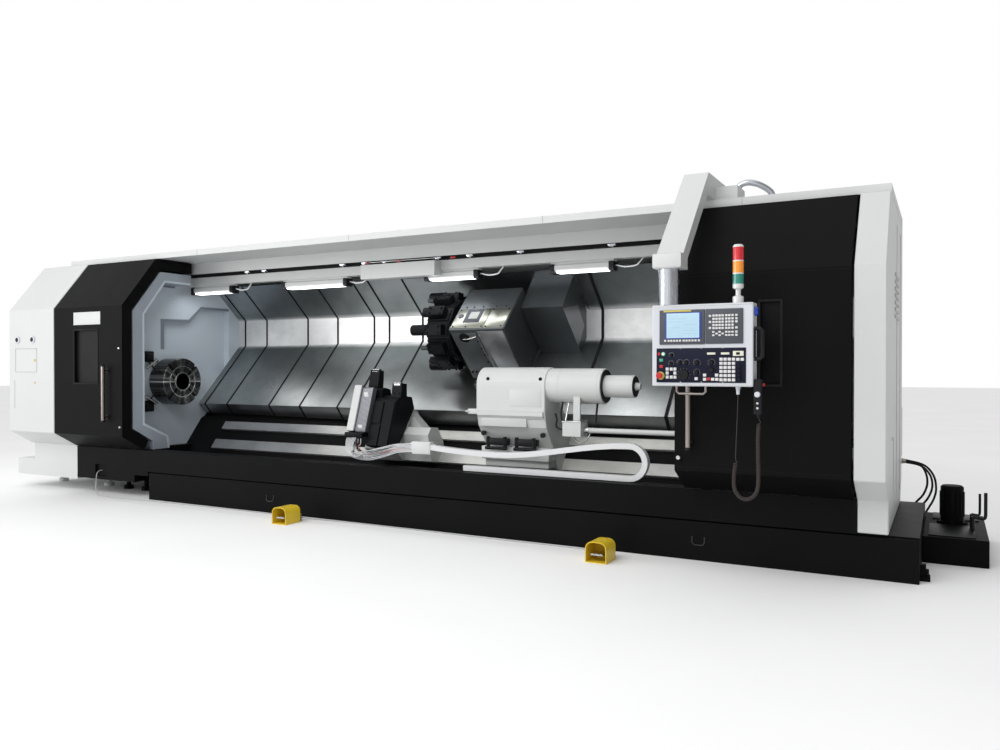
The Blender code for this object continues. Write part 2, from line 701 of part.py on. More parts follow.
def cover(name, xs, layer, bulkhead_x=None):
    """One telescopic cover: a bent sheet with a bulkhead that runs on the two carriage rails."""
    outline = sheet_line(layer) + sheet_line(layer, COVER_SHEET)[::-1]
    sheet = piece(name, prism(outline, xs[0], xs[1]), STEEL, (xs[0], 0, 0))
    if bulkhead_x is not None:
        middle = sheet_line(layer, COVER_SHEET / 2)
        sit = RAIL_TOP_N + SEAT
        low = RAIL_U[0] - RAIL_HALF_WIDTH
        high = RAIL_U[1] + RAIL_HALF_WIDTH
        plate = [slide_point(low, sit), slide_point(high, sit)]
        plate += [slant_foot(middle, high, sit), slant_foot(middle, low, sit)]
        add(sheet, prism(plate, bulkhead_x, bulkhead_x + BULKHEAD))
    return sheet


def covers():
    cover("cover_left_1", LEFT_FIXED_X, 0)
    for i, edge in enumerate(LEFT_EDGES):
        cover(f"cover_left_{i + 2}", (edge, edge + LEFT_LENGTH), i + 1, edge + LEFT_LENGTH - BULKHEAD)
    for i, edge in enumerate(RIGHT_EDGES):
        left = edge - RIGHT_LENGTH
        cover(f"cover_right_{i + 1}", (left, edge), CARRIAGE_LAYER - 1 - i, left)
    cover("cover_right_4", RIGHT_FIXED_X, CARRIAGE_LAYER - 4)


def carriage():
    cover("carriage_cover", CARRIAGE_X, CARRIAGE_LAYER)
    under = sheet_line(CARRIAGE_LAYER, COVER_SHEET + SEAT)
    sit = RAIL_TOP_N + SEAT
    low = RAIL_U[0] - RAIL_HALF_WIDTH - 0.02
    high = RAIL_U[1] + RAIL_HALF_WIDTH + 0.02
    plate = [slide_point(low, sit), slide_point(high, sit)]
    plate += [slant_foot(under, high, sit), slant_foot(under, low, sit)]
    piece("saddle", prism(plate, *SADDLE_X), DARK_STEEL, (SADDLE_X[0], 0, 0))

    front = sheet_line(CARRIAGE_LAYER, -SEAT)
    face_n = HOUSING_N[0] - SEAT
    top_u = front[2][0] * math.sqrt(2) + face_n
    slab = [slide_point(PLATFORM_U, face_n), slide_point(top_u, face_n), front[2]]
    slab.append(slant_foot(front, PLATFORM_U, face_n))
    platform = piece("cross_slide_base", prism(slab, *PLATFORM_X), DARK_STEEL, (PLATFORM_X[0], 0, 0))

    slant_part = (HOOD_TOP_Z - front[3][1]) / (front[4][1] - front[3][1])
    meeting = Vector(front[3]).lerp(Vector(front[4]), slant_part)
    box = [slide_point(HOOD_U, HOOD_N), slant_foot(front, HOOD_U, HOOD_N), front[2], front[3], tuple(meeting)]
    add(platform, prism(box, *HOOD_X))


def turret_unit():
    shape = slide_block(HOUSING_U, HOUSING_N, HOUSING_X)
    housing = piece("turret_housing", shape, DARK_STEEL, (HOUSING_X[0], 0, 0))
    soften(housing, 0.008, 1)
    centre_y, centre_z = slide_point(TURRET_U, 0)
    corner_radius = TURRET_RADIUS / math.cos(math.pi / STATIONS)
    disc = []
    for i in range(STATIONS):
        turn = 2 * math.pi * (i + 0.5) / STATIONS
        disc.append((centre_y + corner_radius * math.cos(turn), centre_z + corner_radius * math.sin(turn)))
    shape = prism(disc, *TURRET_X)
    turret = piece("turret", shape, BLACK, (TURRET_X[0], centre_y, centre_z))
    soften(turret, 0.010, 1)
    add(turret, rod(0.120, TURRET_X[1] - 0.02, HOUSING_X[0] - SEAT, (0, centre_y, centre_z)))
    add(turret, turned([(0.130, TURRET_X[0] - 0.03), (0.190, TURRET_X[0] + 0.02)], (0, centre_y, centre_z)))
    for i in range(STATIONS):
        holder_x = (TURRET_X[0] + 0.03, TURRET_X[1] - 0.05)
        holder = block(holder_x, (-0.050, 0.050), (TURRET_RADIUS - 0.03, TURRET_RADIUS + 0.085))
        turn = Matrix.Rotation(2 * math.pi * i / STATIONS, 4, "X")
        holder.transform(Matrix.Translation((0, centre_y, centre_z)) @ turn)
        add(turret, holder)


def tailstock():
    steps = 16
    turns = [math.pi * i / steps for i in range(steps + 1)]
    arc = [(TAIL_RADIUS * math.cos(turn), AXIS_Z + TAIL_RADIUS * math.sin(turn)) for turn in turns]
    outline = arc + [
        (-TAIL_RADIUS, TAIL_SHOULDER_Z),
        (-0.120, 0.880),
        (0.020, 0.700),
        (0.080, 0.600),
        (0.120, 0.500),
        bed_point(LOWER_WAY[0] - 0.012, WAY_HEIGHT + SEAT),
        bed_point(UPPER_WAY[1] + 0.012, WAY_HEIGHT + SEAT),
        (0.300, 0.950),
        (TAIL_RADIUS, 1.100),
    ]
    body = piece("tailstock", prism(outline, *TAIL_X), WHITE, (TAIL_X[0], 0, AXIS_Z))
    soften(body, 0.006, 1)
    drive = [
        (DRIVE_RADIUS, TAIL_X[1] - 0.01),
        (DRIVE_RADIUS, DRIVE_X - 0.006),
        (DRIVE_RADIUS - 0.006, DRIVE_X),
        (MOTOR_RADIUS, DRIVE_X),
        (MOTOR_RADIUS, MOTOR_X),
        (0.035, MOTOR_X),
        (0.025, MOTOR_X + 0.045),
    ]
    add(body, turned(drive, (0, 0, AXIS_Z), "X", 40))
    bore_end = QUILL_TIP_X + QUILL_LENGTH + 0.06
    cut(body, rod(QUILL_RADIUS + SEAT, TAIL_X[0] - 0.05, bore_end, (0, 0, AXIS_Z), "X", 32))
    cone_x = QUILL_TIP_X + 0.056
    quill_end = QUILL_TIP_X + QUILL_LENGTH
    quill = [(0.0, QUILL_TIP_X), (0.034, cone_x), (QUILL_RADIUS, cone_x)]
    quill += [(QUILL_RADIUS, quill_end), (0.0, quill_end)]
    piece("quill", turned(quill, (0, 0, AXIS_Z), "X", 32), STEEL, (QUILL_TIP_X, 0, AXIS_Z))

    box_x = (1.940, 2.100)
    add(body, block(box_x, (-0.250, -0.100), (0.830, 0.950)))
    add(body, block((box_x[0] + 0.04, box_x[0] + 0.10), (-0.120, -0.102), (0.900, AXIS_Z - 0.070)))
    add(body, rod(0.021, box_x[1] - 0.01, 3.050, (0, -0.175, 0.880), "X", 16))


def steady_rest():
    face_low = (-0.090, 0.620)
    face_high = (0.200, 1.000)
    base_outline = [
        bed_point(LOWER_WAY[0] - 0.012, WAY_HEIGHT + SEAT),
        bed_point(UPPER_WAY[1] + 0.012, WAY_HEIGHT + SEAT),
        (0.330, 0.960),
        face_high,
        face_low,
        (0.080, 0.500),
    ]
    base = piece("steady_base", prism(base_outline, *STEADY_BASE_X), WHITE, (STEADY_BASE_X[0], 0, 0))
    soften(base, 0.004, 1)
    foot = [
        bed_point(LOWER_WAY[0] - 0.005, WAY_HEIGHT + 0.003),
        bed_point(0.200, WAY_HEIGHT + 0.003),
        (0.200, 0.820),
        (0.082, 0.826),
        (0.030, 0.760),
        (0.090, 0.506),
    ]
    add(base, prism(foot, STEADY_BASE_X[1] - 0.01, STEADY_FOOT_END))
    cowl = [(STEADY_BASE_X[1] - 0.01, 0.750), (STEADY_BASE_X[1] - 0.01, 0.965), (0.290, 0.805), (0.290, 0.750)]
    add(base, prism(cowl, 0.180, 0.300, "Y"))
    beam_x = (STEADY_FOOT_END - 0.080, STEADY_FOOT_END)
    add(base, block(beam_x, (CHAIN_Y[1] + SEAT, 0.060), BRACKET_Z))
    add(base, block((beam_x[0], CHAIN_X - 0.060), (CHAIN_Y[1] + SEAT, CHAIN_Y[1] + 0.060), BRACKET_Z))

    run = Vector(face_high) - Vector(face_low)
    back = Vector((-run.y, run.x)).normalized() * SEAT
    low = tuple(Vector(face_low) + back)
    high = tuple(Vector(face_high) + back)
    body_outline = [low, high, (0.160, 1.110), (0.000, 1.130), (-0.100, 1.085), (-0.240, 0.660)]
    body = piece("steady_body", prism(body_outline, *STEADY_X), BLACK, (STEADY_X[0], 0, 0))
    soften(body, 0.006, 1)
    lobe = [(-0.045, 0.950), (-0.045, 1.180), (0.000, 1.200), (0.090, 1.180), (0.120, 1.050), (0.110, 0.950)]
    add(body, prism(lobe, *STEADY_LOBE_X))
    left_arm = [(-0.030, 1.150), (0.020, 1.370), (0.085, 1.360), (0.070, 1.150)]
    right_arm = [(-0.040, 1.080), (-0.010, 1.240), (0.070, 1.240), (0.070, 1.080)]
    add(body, prism(left_arm, STEADY_LOBE_X[0], STEADY_LOBE_X[0] + STEADY_ARM_WIDTH))
    add(body, prism(right_arm, STEADY_X[1] - STEADY_ARM_WIDTH, STEADY_X[1]))

    valves = [(-0.245, 0.790), (-0.115, 1.205), (-0.060, 1.190), (-0.190, 0.775)]
    rack = piece("steady_valves", prism(valves, *VALVES_X), PALE, (VALVES_X[0], 0, 0))
    bar = [(-0.265, 0.800), (-0.130, 1.225), (-0.085, 1.210), (-0.220, 0.785)]
    add(rack, prism(bar, *VALVE_BAR_X))


def chain_loop():
    """The cable carrier with a round turn at its right end and a box at its left end."""
    half = 0.022
    radius = 0.125
    turn_x = 2.583
    turn_z = APRON_TOP + 0.0053 + half + radius
    steps = 12
    outer = []
    inner = []
    for i in range(steps + 1):
        angle = math.pi / 2 - math.pi * i / steps
        across, rise = math.cos(angle), math.sin(angle)
        outer.append((turn_x + (radius + half) * across, turn_z + (radius + half) * rise))
        inner.append((turn_x + (radius - half) * across, turn_z + (radius - half) * rise))
    start_x, low_x, sag_z = CHAIN_X, 1.450, 0.668
    upper = []
    for i in range(14):
        x = start_x + (turn_x - start_x) * i / 14
        if x < low_x:
            z = sag_z + 0.034 * ((low_x - x) / (low_x - start_x)) ** 2
        else:
            part = (x - low_x) / (turn_x - low_x)
            z = sag_z + (turn_z + radius - sag_z) * (3 * part ** 2 - 2 * part ** 3)
        upper.append((x, z))
    end_x = 1.110
    top = [(x, z + half) for x, z in upper]
    bottom = [(x, z - half) for x, z in upper]
    lower = [(end_x, turn_z - radius - half), (end_x, turn_z - radius + half)]
    loop = top + outer + lower + inner[::-1] + bottom[::-1]
    chain = piece("cable_chain", prism(loop, *CHAIN_Y, "Y"), WHITE, (start_x, CHAIN_Y[0], turn_z))
    add(chain, block((start_x - 0.170, start_x + 0.020), (CHAIN_Y[0] - 0.005, CHAIN_Y[1]), CHAIN_BOX_Z))


def control():
    on_roof = TOP_Z + ROOF_THICK + SEAT
    outline = [
        (-1.220, HEAD_Z[0]),
        (-1.220, HEAD_Z[1]),
        (-1.150, HEAD_Z[1] + 0.005),
        (-0.500, 2.800),
        (0.050, 2.800),
        (0.050, on_roof),
        (-0.530, on_roof),
        (-1.050, 2.115),
        (-1.050, HEAD_Z[0]),
    ]
    arm = piece("control_arm", prism(outline, *ARM_X), WHITE)
    add(arm, block((ARM_X[1] - 0.01, 3.360), (-0.300, -0.050), (on_roof, 2.730)))
    add(arm, tube(CONDUIT, CONDUIT_RADIUS))
    post = rod(TUBE_RADIUS, PANEL_Z[1] + SEAT, HEAD_Z[0] - SEAT, (TUBE_X, TUBE_Y, 0), "Z", 32)
    piece("arm_tube", post, STEEL)

    origin = (TUBE_X, TUBE_Y, PANEL_Z[0])
    panel_y = (PANEL_FRONT, PANEL_FRONT + PANEL_DEPTH)
    panel = piece("control_panel", block(PANEL_X, panel_y, PANEL_Z), PALE, origin)
    soften(panel, 0.008, 2)
    grip_y = PANEL_FRONT + 0.060
    foot = PANEL_Z[0]
    loop = (
        (LOOP_X[0], grip_y, foot + 0.010),
        (LOOP_X[0], grip_y, foot - 0.035),
        (LOOP_X[0] + 0.015, grip_y, foot - 0.050),
        (LOOP_X[1] - 0.015, grip_y, foot - 0.050),
        (LOOP_X[1], grip_y, foot - 0.035),
        (LOOP_X[1], grip_y, foot + 0.010),
    )
    add(panel, tube(loop, 0.0075, 10, False))
    end = PANEL_X[1]
    grip_y = PANEL_FRONT + 0.035
    grip = (
        (end - 0.010, grip_y, GRIP_Z[1]),
        (end + 0.035, grip_y, GRIP_Z[1]),
        (end + 0.050, grip_y, GRIP_Z[1] - 0.015),
        (end + 0.050, grip_y, GRIP_Z[0] + 0.015),
        (end + 0.035, grip_y, GRIP_Z[0]),
        (end - 0.010, grip_y, GRIP_Z[0]),
    )
    add(panel, tube(grip, 0.0125, 10, False))
    place = PENDANT_CORD[0]
    gland = [(0.010, place[2] + SEAT), (0.013, foot - 0.014), (0.016, foot - 0.012), (0.016, foot + 0.010)]
    add(panel, turned(gland, (place[0], place[1], 0), "Z", 16))
    foot = PANEL_Z[1] + SEAT
    stack = [(0.0, foot), (0.034, foot), (0.034, foot + 0.040), (0.016, foot + 0.050), (0.016, foot + 0.085),
             (0.034, foot + 0.095), (0.034, 2.160), (0.026, 2.170), (0.0, 2.170)]
    piece("stack_light", turned(stack, (3.550, -1.140, 0), "Z", 24), LIGHT, (3.550, -1.140, PANEL_Z[1]))
    box = block((PANEL_X[1] + SEAT, PANEL_X[1] + 0.050), (-1.190, -1.110), (1.100, 1.320))
    handset = piece("handset", box, BLACK, origin)
    soften(handset, 0.006, 1)
    relief = PENDANT_COIL[-1]
    add(handset, rod(0.012, relief[2] + SEAT, 1.110, (relief[0], relief[1], 0), "Z", 16))


def tank_unit():
    tank = piece("coolant_tank", block(TANK_X, TANK_Y, (0, TANK_Z)), BLACK)
    soften(tank, 0.004, 1)
    foot = TANK_Z + SEAT
    profile = [
        (0.0, foot - 0.010),
        (0.105, foot - 0.010),
        (0.105, foot + 0.020),
        (0.080, foot + 0.022),
        (0.080, 0.473),
        (0.068, 0.485),
        (0.0, 0.485),
    ]
    add(tank, turned(profile, (*PUMP_PLACE, 0), "Z", 24))


def arch(width, height, corner, x, low):
    """Outline seen along Y: a flat foot, upright sides and a top with round corners."""
    steps = 6
    outline = [(x - width / 2, low), (x + width / 2, low)]
    for side, start in ((1, 0.0), (-1, math.pi / 2)):
        for i in range(steps + 1):
            turn = start + math.pi / 2 * i / steps
            across = side * (width / 2 - corner) + corner * math.cos(turn)
            outline.append((x + across, low + height - corner + corner * math.sin(turn)))
    return outline


def leads():
    """Everything that hangs or lies loose: coolant hoses, foot switch cables and the handset's lead."""
    for i, points in enumerate(HOSES):
        lead(f"hose_{i + 1}", points, HOSE_RADIUS)
    for i, points in enumerate(PEDAL_CABLES):
        lead(f"pedal_cable_{i + 1}", points, PEDAL_CABLE_RADIUS)
    lead("pendant_cord", PENDANT_CORD, PENDANT_RADIUS)
    lead("pendant_coil", PENDANT_COIL, COIL_RADIUS)


def foot_switch(number, x, y):
    """A treadle under an open yellow guard."""
    width, depth, height = GUARD_SIZE
    wall = GUARD_WALL
    outside = arch(width, height, GUARD_CORNER, x, 0)
    inside = arch(width - 2 * wall, height - 2 * wall, GUARD_CORNER - wall, x, wall)
    guard = piece(f"pedal_guard_{number}", prism(outside, y, y + depth, "Y"), YELLOW)
    cut(guard, prism(inside, y - 0.05, y + depth - wall, "Y"))
    add(guard, block((x - 0.045, x + 0.045), (y + 0.152, y + depth - 0.002), (0.002, 0.0355)))
    add(guard, block((x - 0.045, x + 0.045), (y + depth - 0.003, y + depth + SWITCH_DEPTH), (0, 0.062)))
    treadle = [(y + 0.020, 0.050), (y + 0.162, 0.036), (y + 0.162, 0.048), (y + 0.020, 0.062)]
    piece(f"pedal_{number}", prism(treadle, x - 0.045, x + 0.045), STEEL, (x, y + 0.150, 0.042))


plinth()
bed()
apron()
headstock_base()
enclosure()
headstock()
chuck()
covers()
carriage()
turret_unit()
tailstock()
steady_rest()
chain_loop()
control()
tank_unit()
sliding_door("left", LEFT_DOOR_X, -3.010, (-3.550, -3.170), (1.230, 1.790), (0.830, 1.410))
sliding_door("right", RIGHT_DOOR_X, 3.150, (3.620, 3.750), (1.280, 1.830), (0.830, 1.430))
foot_switch(1, -0.500, -0.945)
foot_switch(2, 2.520, -0.975)
leads()
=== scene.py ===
import math
from itertools import product

import bmesh
import bpy
from mathutils import Matrix, Vector


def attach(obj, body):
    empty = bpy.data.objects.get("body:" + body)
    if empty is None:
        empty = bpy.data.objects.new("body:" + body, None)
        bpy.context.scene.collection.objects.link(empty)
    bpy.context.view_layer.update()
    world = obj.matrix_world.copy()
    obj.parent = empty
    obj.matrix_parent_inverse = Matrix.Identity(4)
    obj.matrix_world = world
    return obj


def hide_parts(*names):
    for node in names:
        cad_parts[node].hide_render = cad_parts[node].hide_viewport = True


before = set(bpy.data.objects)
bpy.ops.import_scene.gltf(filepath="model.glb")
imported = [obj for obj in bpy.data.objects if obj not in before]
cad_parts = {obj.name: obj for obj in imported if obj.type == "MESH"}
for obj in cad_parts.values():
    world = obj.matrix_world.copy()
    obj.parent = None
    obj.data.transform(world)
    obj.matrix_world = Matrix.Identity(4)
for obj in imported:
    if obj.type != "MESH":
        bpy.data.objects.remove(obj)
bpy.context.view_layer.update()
scene = bpy.context.scene

# Camera
EYE = (4.71, -6.469, 1.39)
TURN_LEFT = 28.327
LOOK_DOWN = 0.488
FOCAL_PIXELS = 827.5
PICTURE_PIXELS = 1000
SENSOR_WIDTH = 36

lens = bpy.data.cameras.new("view")
lens.sensor_width = SENSOR_WIDTH
lens.lens = FOCAL_PIXELS / PICTURE_PIXELS * SENSOR_WIDTH
lens.clip_end = 200
camera = bpy.data.objects.new("view", lens)
scene.collection.objects.link(camera)
camera.location = EYE
camera.rotation_euler = (math.radians(90 - LOOK_DOWN), 0, math.radians(TURN_LEFT))
scene.camera = camera

# Planes shared with the solids: spindle axis, door fronts, headstock wall and chuck face
AXIS_Z = 1.238
FRONT_Y = -0.8
WALL_X = -3.05
CHUCK_X = -2.81


# Shader building: in these calls a socket's name has _ for a space
def fill(tree, node, **sockets):
    """Set or link the node's sockets."""
    for name, value in sockets.items():
        socket = node.inputs[name.replace("_", " ")]
        if isinstance(value, bpy.types.NodeSocket):
            tree.links.new(value, socket)
        else:
            socket.default_value = value


def add(tree, kind, **sockets):
    node = tree.nodes.new("ShaderNode" + kind)
    fill(tree, node, **sockets)
    return node


def new_finish(name):
    made = bpy.data.materials.new(name)
    made.use_nodes = True
    return made, made.node_tree


def look(finish, **sockets):
    """Fill the finish's own shader."""
    tree = finish.node_tree
    fill(tree, tree.nodes["Principled BSDF"], **sockets)
    return finish


def noise(tree, scale, detail, stretch=(1, 1, 1), rough=0.55):
    coord = add(tree, "TexCoord")
    place = add(tree, "Mapping", Scale=stretch, Vector=coord.outputs["Object"])
    at = place.outputs["Vector"]
    return add(tree, "TexNoise", Scale=scale, Detail=detail, Roughness=rough, Vector=at).outputs["Fac"]


def ramp(tree, source, low, high, start=0.3, end=0.7):
    made = add(tree, "ValToRGB", Fac=source)
    first, last = made.color_ramp.elements
    first.position, last.position = start, end
    first.color, last.color = (*low, 1), (*high, 1)
    return made.outputs["Color"]


def spread(tree, source, low, high, start=0, end=1):
    made = add(tree, "MapRange", Value=source, From_Min=start, From_Max=end, To_Min=low, To_Max=high)
    return made.outputs["Result"]


def bump(tree, source, strength, distance):
    return add(tree, "Bump", Strength=strength, Distance=distance, Height=source).outputs["Normal"]


def blend(tree, kind, first, second):
    mixed = add(tree, "Mix")
    mixed.data_type = "RGBA"
    mixed.blend_type = kind
    fill(tree, mixed, Factor=1, A=first, B=second)
    return mixed.outputs["Result"]


def times(tree, first, second):
    return blend(tree, "MULTIPLY", first, second)


def maths(tree, kind, *sources):
    made = add(tree, "Math")
    made.operation = kind
    for source, socket in zip(sources, made.inputs):
        tree.links.new(source, socket)
    return made.outputs["Value"]


def axes_of(tree, kind="Object"):
    """The place in the piece's own frame, as one output for each of X, Y and Z."""
    return add(tree, "SeparateXYZ", Vector=add(tree, "TexCoord").outputs[kind]).outputs


def place_ramp(tree, low, high, stops, axis="Z", constant=False):
    """Colours set by the place along one axis, as (place, colour) stops."""
    band = add(tree, "ValToRGB", Fac=spread(tree, axes_of(tree)[axis], 0, 1, low, high))
    if constant:
        band.color_ramp.interpolation = "CONSTANT"
    ends = band.color_ramp.elements
    places = [(place - low) / (high - low) for place, _ in stops]
    ends[0].position, ends[1].position = places[0], places[-1]
    ends[0].color, ends[1].color = (*stops[0][1], 1), (*stops[-1][1], 1)
    for at, (_, colour) in list(zip(places, stops))[1:-1]:
        ends.new(at).color = (*colour, 1)
    return band.outputs["Color"]


# Kinds of finish
PAINT_CLOUDS = 1.3
METAL_CLOUDS = 0.8
CLEAN = (1, 1, 1)


def paint(name, colour, rough, shade=0.06, coat=0.15, grain=260, shine=0.4):
    """Sprayed metal: fine orange-peel grain, and a faint cloudy change of shade."""
    made, tree = new_finish(name)
    low = tuple(max(0, c * (1 - shade)) for c in colour)
    high = tuple(min(1, c * (1 + shade)) for c in colour)
    return look(made, Base_Color=ramp(tree, noise(tree, PAINT_CLOUDS, 5), low, high),
                Roughness=spread(tree, noise(tree, 5, 4), rough - 0.05, rough + 0.06),
                Coat_Weight=coat, Coat_Roughness=0.25, Specular_IOR_Level=shine,
                Normal=bump(tree, noise(tree, grain, 2), 0.1, 0.0004))


def steel(name, colour, rough, stretch, shade, scale, metallic=1.0, shine=0.5):
    """Worked metal with brushing along one way and cloudy handling marks."""
    made, tree = new_finish(name)
    lines = noise(tree, scale, 6, stretch, 0.7)
    brushed = ramp(tree, lines, tuple(c * (1 - shade) for c in colour), colour, 0.25, 0.75)
    handled = ramp(tree, noise(tree, METAL_CLOUDS, 6), (0.7, 0.71, 0.74), CLEAN, 0.35, 0.62)
    return look(made, Base_Color=times(tree, brushed, handled), Metallic=metallic,
                Roughness=spread(tree, lines, rough - 0.07, rough + 0.1), Specular_IOR_Level=shine,
                Normal=bump(tree, lines, 0.12, 0.0006))


def glow(name, colour, strength):
    """A lit face, a little uneven in its light."""
    made, tree = new_finish(name)
    light = ramp(tree, noise(tree, 30, 2), tuple(c * 0.92 for c in colour), colour)
    return look(made, Base_Color=(*(c * 0.12 for c in colour), 1), Roughness=0.3, Emission_Color=light,
                Emission_Strength=strength)


def stack_colours():
    """Lamp tower: red over amber over green lenses on a pale stem, set by height."""
    made, tree = new_finish("lamp_tower")
    pale = (0.66, 0.66, 0.65)
    stops = ((1.8, pale), (1.92, (0.02, 0.22, 0.17)), (1.982, pale), (1.99, (0.9, 0.3, 0.03)),
             (2.062, pale), (2.07, (0.62, 0.02, 0.03)), (2.152, pale))
    return look(made, Base_Color=place_ramp(tree, 1.8, 2.2, stops, constant=True), Roughness=0.18,
                Coat_Weight=0.5, Normal=bump(tree, noise(tree, 400, 1, (1, 1, 0.05)), 0.2, 0.001))


def cover_metal():
    """Rolled cover sheet: grey on both slants, painted darker and lighter by height as painted shade, and a
    painted reflection that makes the upright band between them bright.
    """
    made, tree = new_finish("cover_sheet")
    low, high = 0.8, 2.4
    # Painted shade and painted reflection by height: the lower slant darker up towards the band, the upper
    # slant darker just above it and lighter to its top, and the upright band near white with its metallic
    # lowered.
    dull, bright = (0.3, 0.3, 0.3), (0.92, 0.92, 0.92)
    painted_shade_by_height = ((0.84, (0.46, 0.47, 0.49)), (0.97, (0.5, 0.51, 0.51)), (1.3, (0.42, 0.435, 0.435)),
            (1.62, (0.27, 0.29, 0.29)), (1.662, bright), (1.966, bright),
            (2.005, (0.36, 0.38, 0.38)), (2.34, (0.44, 0.45, 0.47)))
    metal = ((0.9, CLEAN), (1.64, CLEAN), (1.665, dull), (1.962, dull), (1.99, CLEAN), (2.3, CLEAN))
    marks = ramp(tree, noise(tree, 1.6, 7, rough=0.65), (0.72, 0.74, 0.74), CLEAN, 0.36, 0.62)
    brushed = ramp(tree, noise(tree, 5, 4, (1.5, 22, 22), 0.6), (0.94, 0.94, 0.94), CLEAN)
    shaded_sheet_colour = times(tree, place_ramp(tree, low, high, painted_shade_by_height), times(tree, marks, brushed))
    return look(made, Base_Color=shaded_sheet_colour, Metallic=place_ramp(tree, low, high, metal),
                Roughness=spread(tree, noise(tree, 2.4, 6), 0.22, 0.4),
                Normal=bump(tree, noise(tree, 420, 2), 0.05, 0.0003))


def way_metal():
    """Ground way: painted blue-grey and darker at the headstock end, where it faces the dark, as painted
    shade and painted reflection, and pale beyond it.
    """
    made, tree = new_finish("ground_way")
    pale = (0.8, 0.8, 0.76)
    # Painted shade along X: darker towards the headstock end.
    along = ((-2.6, (0.3, 0.32, 0.34)), (-1.4, (0.36, 0.37, 0.38)), (-0.5, pale), (4.2, pale))
    grinding = noise(tree, 8, 3, (1, 40, 40), 0.6)
    lines = ramp(tree, grinding, (0.86, 0.86, 0.86), CLEAN)
    marks = ramp(tree, noise(tree, 2.2, 6), (0.76, 0.77, 0.78), CLEAN, 0.36, 0.6)
    colour = times(tree, place_ramp(tree, -2.7, 4.3, along, "X"), times(tree, lines, marks))
    return look(made, Base_Color=colour, Metallic=0.45, Roughness=spread(tree, noise(tree, 3, 5), 0.24, 0.4),
                Normal=bump(tree, grinding, 0.06, 0.0004))


def chuck_metal():
    """Faced steel: fine rays about the spindle axis, turning marks whose sheen is painted into the colour,
    and a painted highlight, the bright line such a face throws.
    """
    made, tree = new_finish("chuck_steel")
    axes = axes_of(tree)
    rise = maths(tree, "SUBTRACT", axes["Z"])
    rise.node.inputs[1].default_value = AXIS_Z
    angle = maths(tree, "ARCTAN2", rise, axes["Y"])
    rays = add(tree, "TexNoise")
    rays.noise_dimensions = "1D"
    fill(tree, rays, Scale=2.6, Detail=5, W=angle)
    # Painted highlight: a bright line across the face where it runs level with the axis.
    painted_highlight_mask = maths(tree, "ABSOLUTE", maths(tree, "SINE", angle))
    dark = ramp(tree, rays.outputs["Fac"], (0.03, 0.03, 0.032), (0.3, 0.3, 0.29), 0.46, 0.78)
    bright = ramp(tree, painted_highlight_mask, (0.8, 0.8, 0.8), (0, 0, 0), 0.01, 0.05)
    return look(made, Base_Color=blend(tree, "LIGHTEN", dark, bright), Metallic=0.8,
                Roughness=spread(tree, rays.outputs["Fac"], 0.18, 0.34))


def glass_dark():
    """Door window: a dull opaque pane, painted near black as painted shade for the dark behind it."""
    made, tree = new_finish("window_dark")
    shade_behind_pane = ramp(tree, noise(tree, 2, 2), (0.004, 0.004, 0.005), (0.012, 0.012, 0.013))
    return look(made, Base_Color=shade_behind_pane, Roughness=0.3, Specular_IOR_Level=0.12)


# Finishes
BLACK = paint("black_paint", (0.0048, 0.0048, 0.0052), 0.48, 0.15, 0, shine=0.06)
TANK_BLACK = paint("tank_black", (0.0035, 0.0035, 0.0035), 0.55, 0.2, 0, shine=0.06)
WHITE = paint("white_paint", (0.6, 0.615, 0.61), 0.4, 0.02, 0.05, shine=0.3)
GREY = paint("grey_paint", (0.35, 0.39, 0.445), 0.42, 0.03, shine=0.3)
# Painted light: a lighter copy of the frame's grey, for the lit headstock wall and the frame's inner edge.
LIT_WALL_GREY = paint("wall_grey_painted_lit", (0.58, 0.65, 0.72), 0.42, 0.03, shine=0.3)
# Painted shade: a dark copy of the wall's grey, for strips where the wall lies in shade.
PAINTED_SHADE_GREY = paint("recess_painted_shade", (0.2, 0.23, 0.27), 0.5)
CAST_WHITE = paint("cast_white", (0.6, 0.615, 0.605), 0.42, 0.03, 0.15, 90, shine=0.3)
YELLOW = paint("yellow_paint", (0.78, 0.55, 0.03), 0.38, 0.05)
CASE = paint("case_grey", (0.6, 0.62, 0.66), 0.36, 0.03, 0.05, shine=0.3)
DARK_UNIT = paint("unit_dark", (0.07, 0.075, 0.09), 0.45, 0.05, 0, 500, shine=0.3)
BOARD = paint("board_navy", (0.01, 0.011, 0.026), 0.45, 0.08, 0, 500, shine=0.12)
INK = paint("screen_ink", (0.3, 0.48, 0.6), 0.5, 0.05, 0)
COUNTER = paint("counter_cream", (0.7, 0.7, 0.58), 0.4, 0.05, 0)
KEY = paint("key_white", (0.66, 0.66, 0.66), 0.45, 0.03, 0, 400)
KNOB = paint("knob_black", (0.009, 0.009, 0.011), 0.42, 0.1, 0, 400, shine=0.2)
RED = paint("button_red", (0.5, 0.015, 0.02), 0.3, 0.05, 0.3)
GREEN = paint("button_green", (0.05, 0.36, 0.22), 0.35, 0.05, 0.2)
BLUE = paint("button_blue", (0.01, 0.05, 0.38), 0.25, 0.05, 0.4)
AMBER = paint("bar_yellow", (0.58, 0.48, 0.1), 0.4, 0.05)
RUBBER = paint("rubber_black", (0.011, 0.011, 0.011), 0.65, 0.15, 0, 700, shine=0.15)
COIL_RUBBER = paint("coil_brown", (0.055, 0.045, 0.042), 0.5, 0.15, 0, 700, shine=0.25)
HOSE_WHITE = paint("hose_white", (0.66, 0.67, 0.68), 0.38, 0.02, 0.2, 500)
CABLE_GREY = paint("cable_grey", (0.46, 0.47, 0.49), 0.45, 0.05, 0.1, 700)
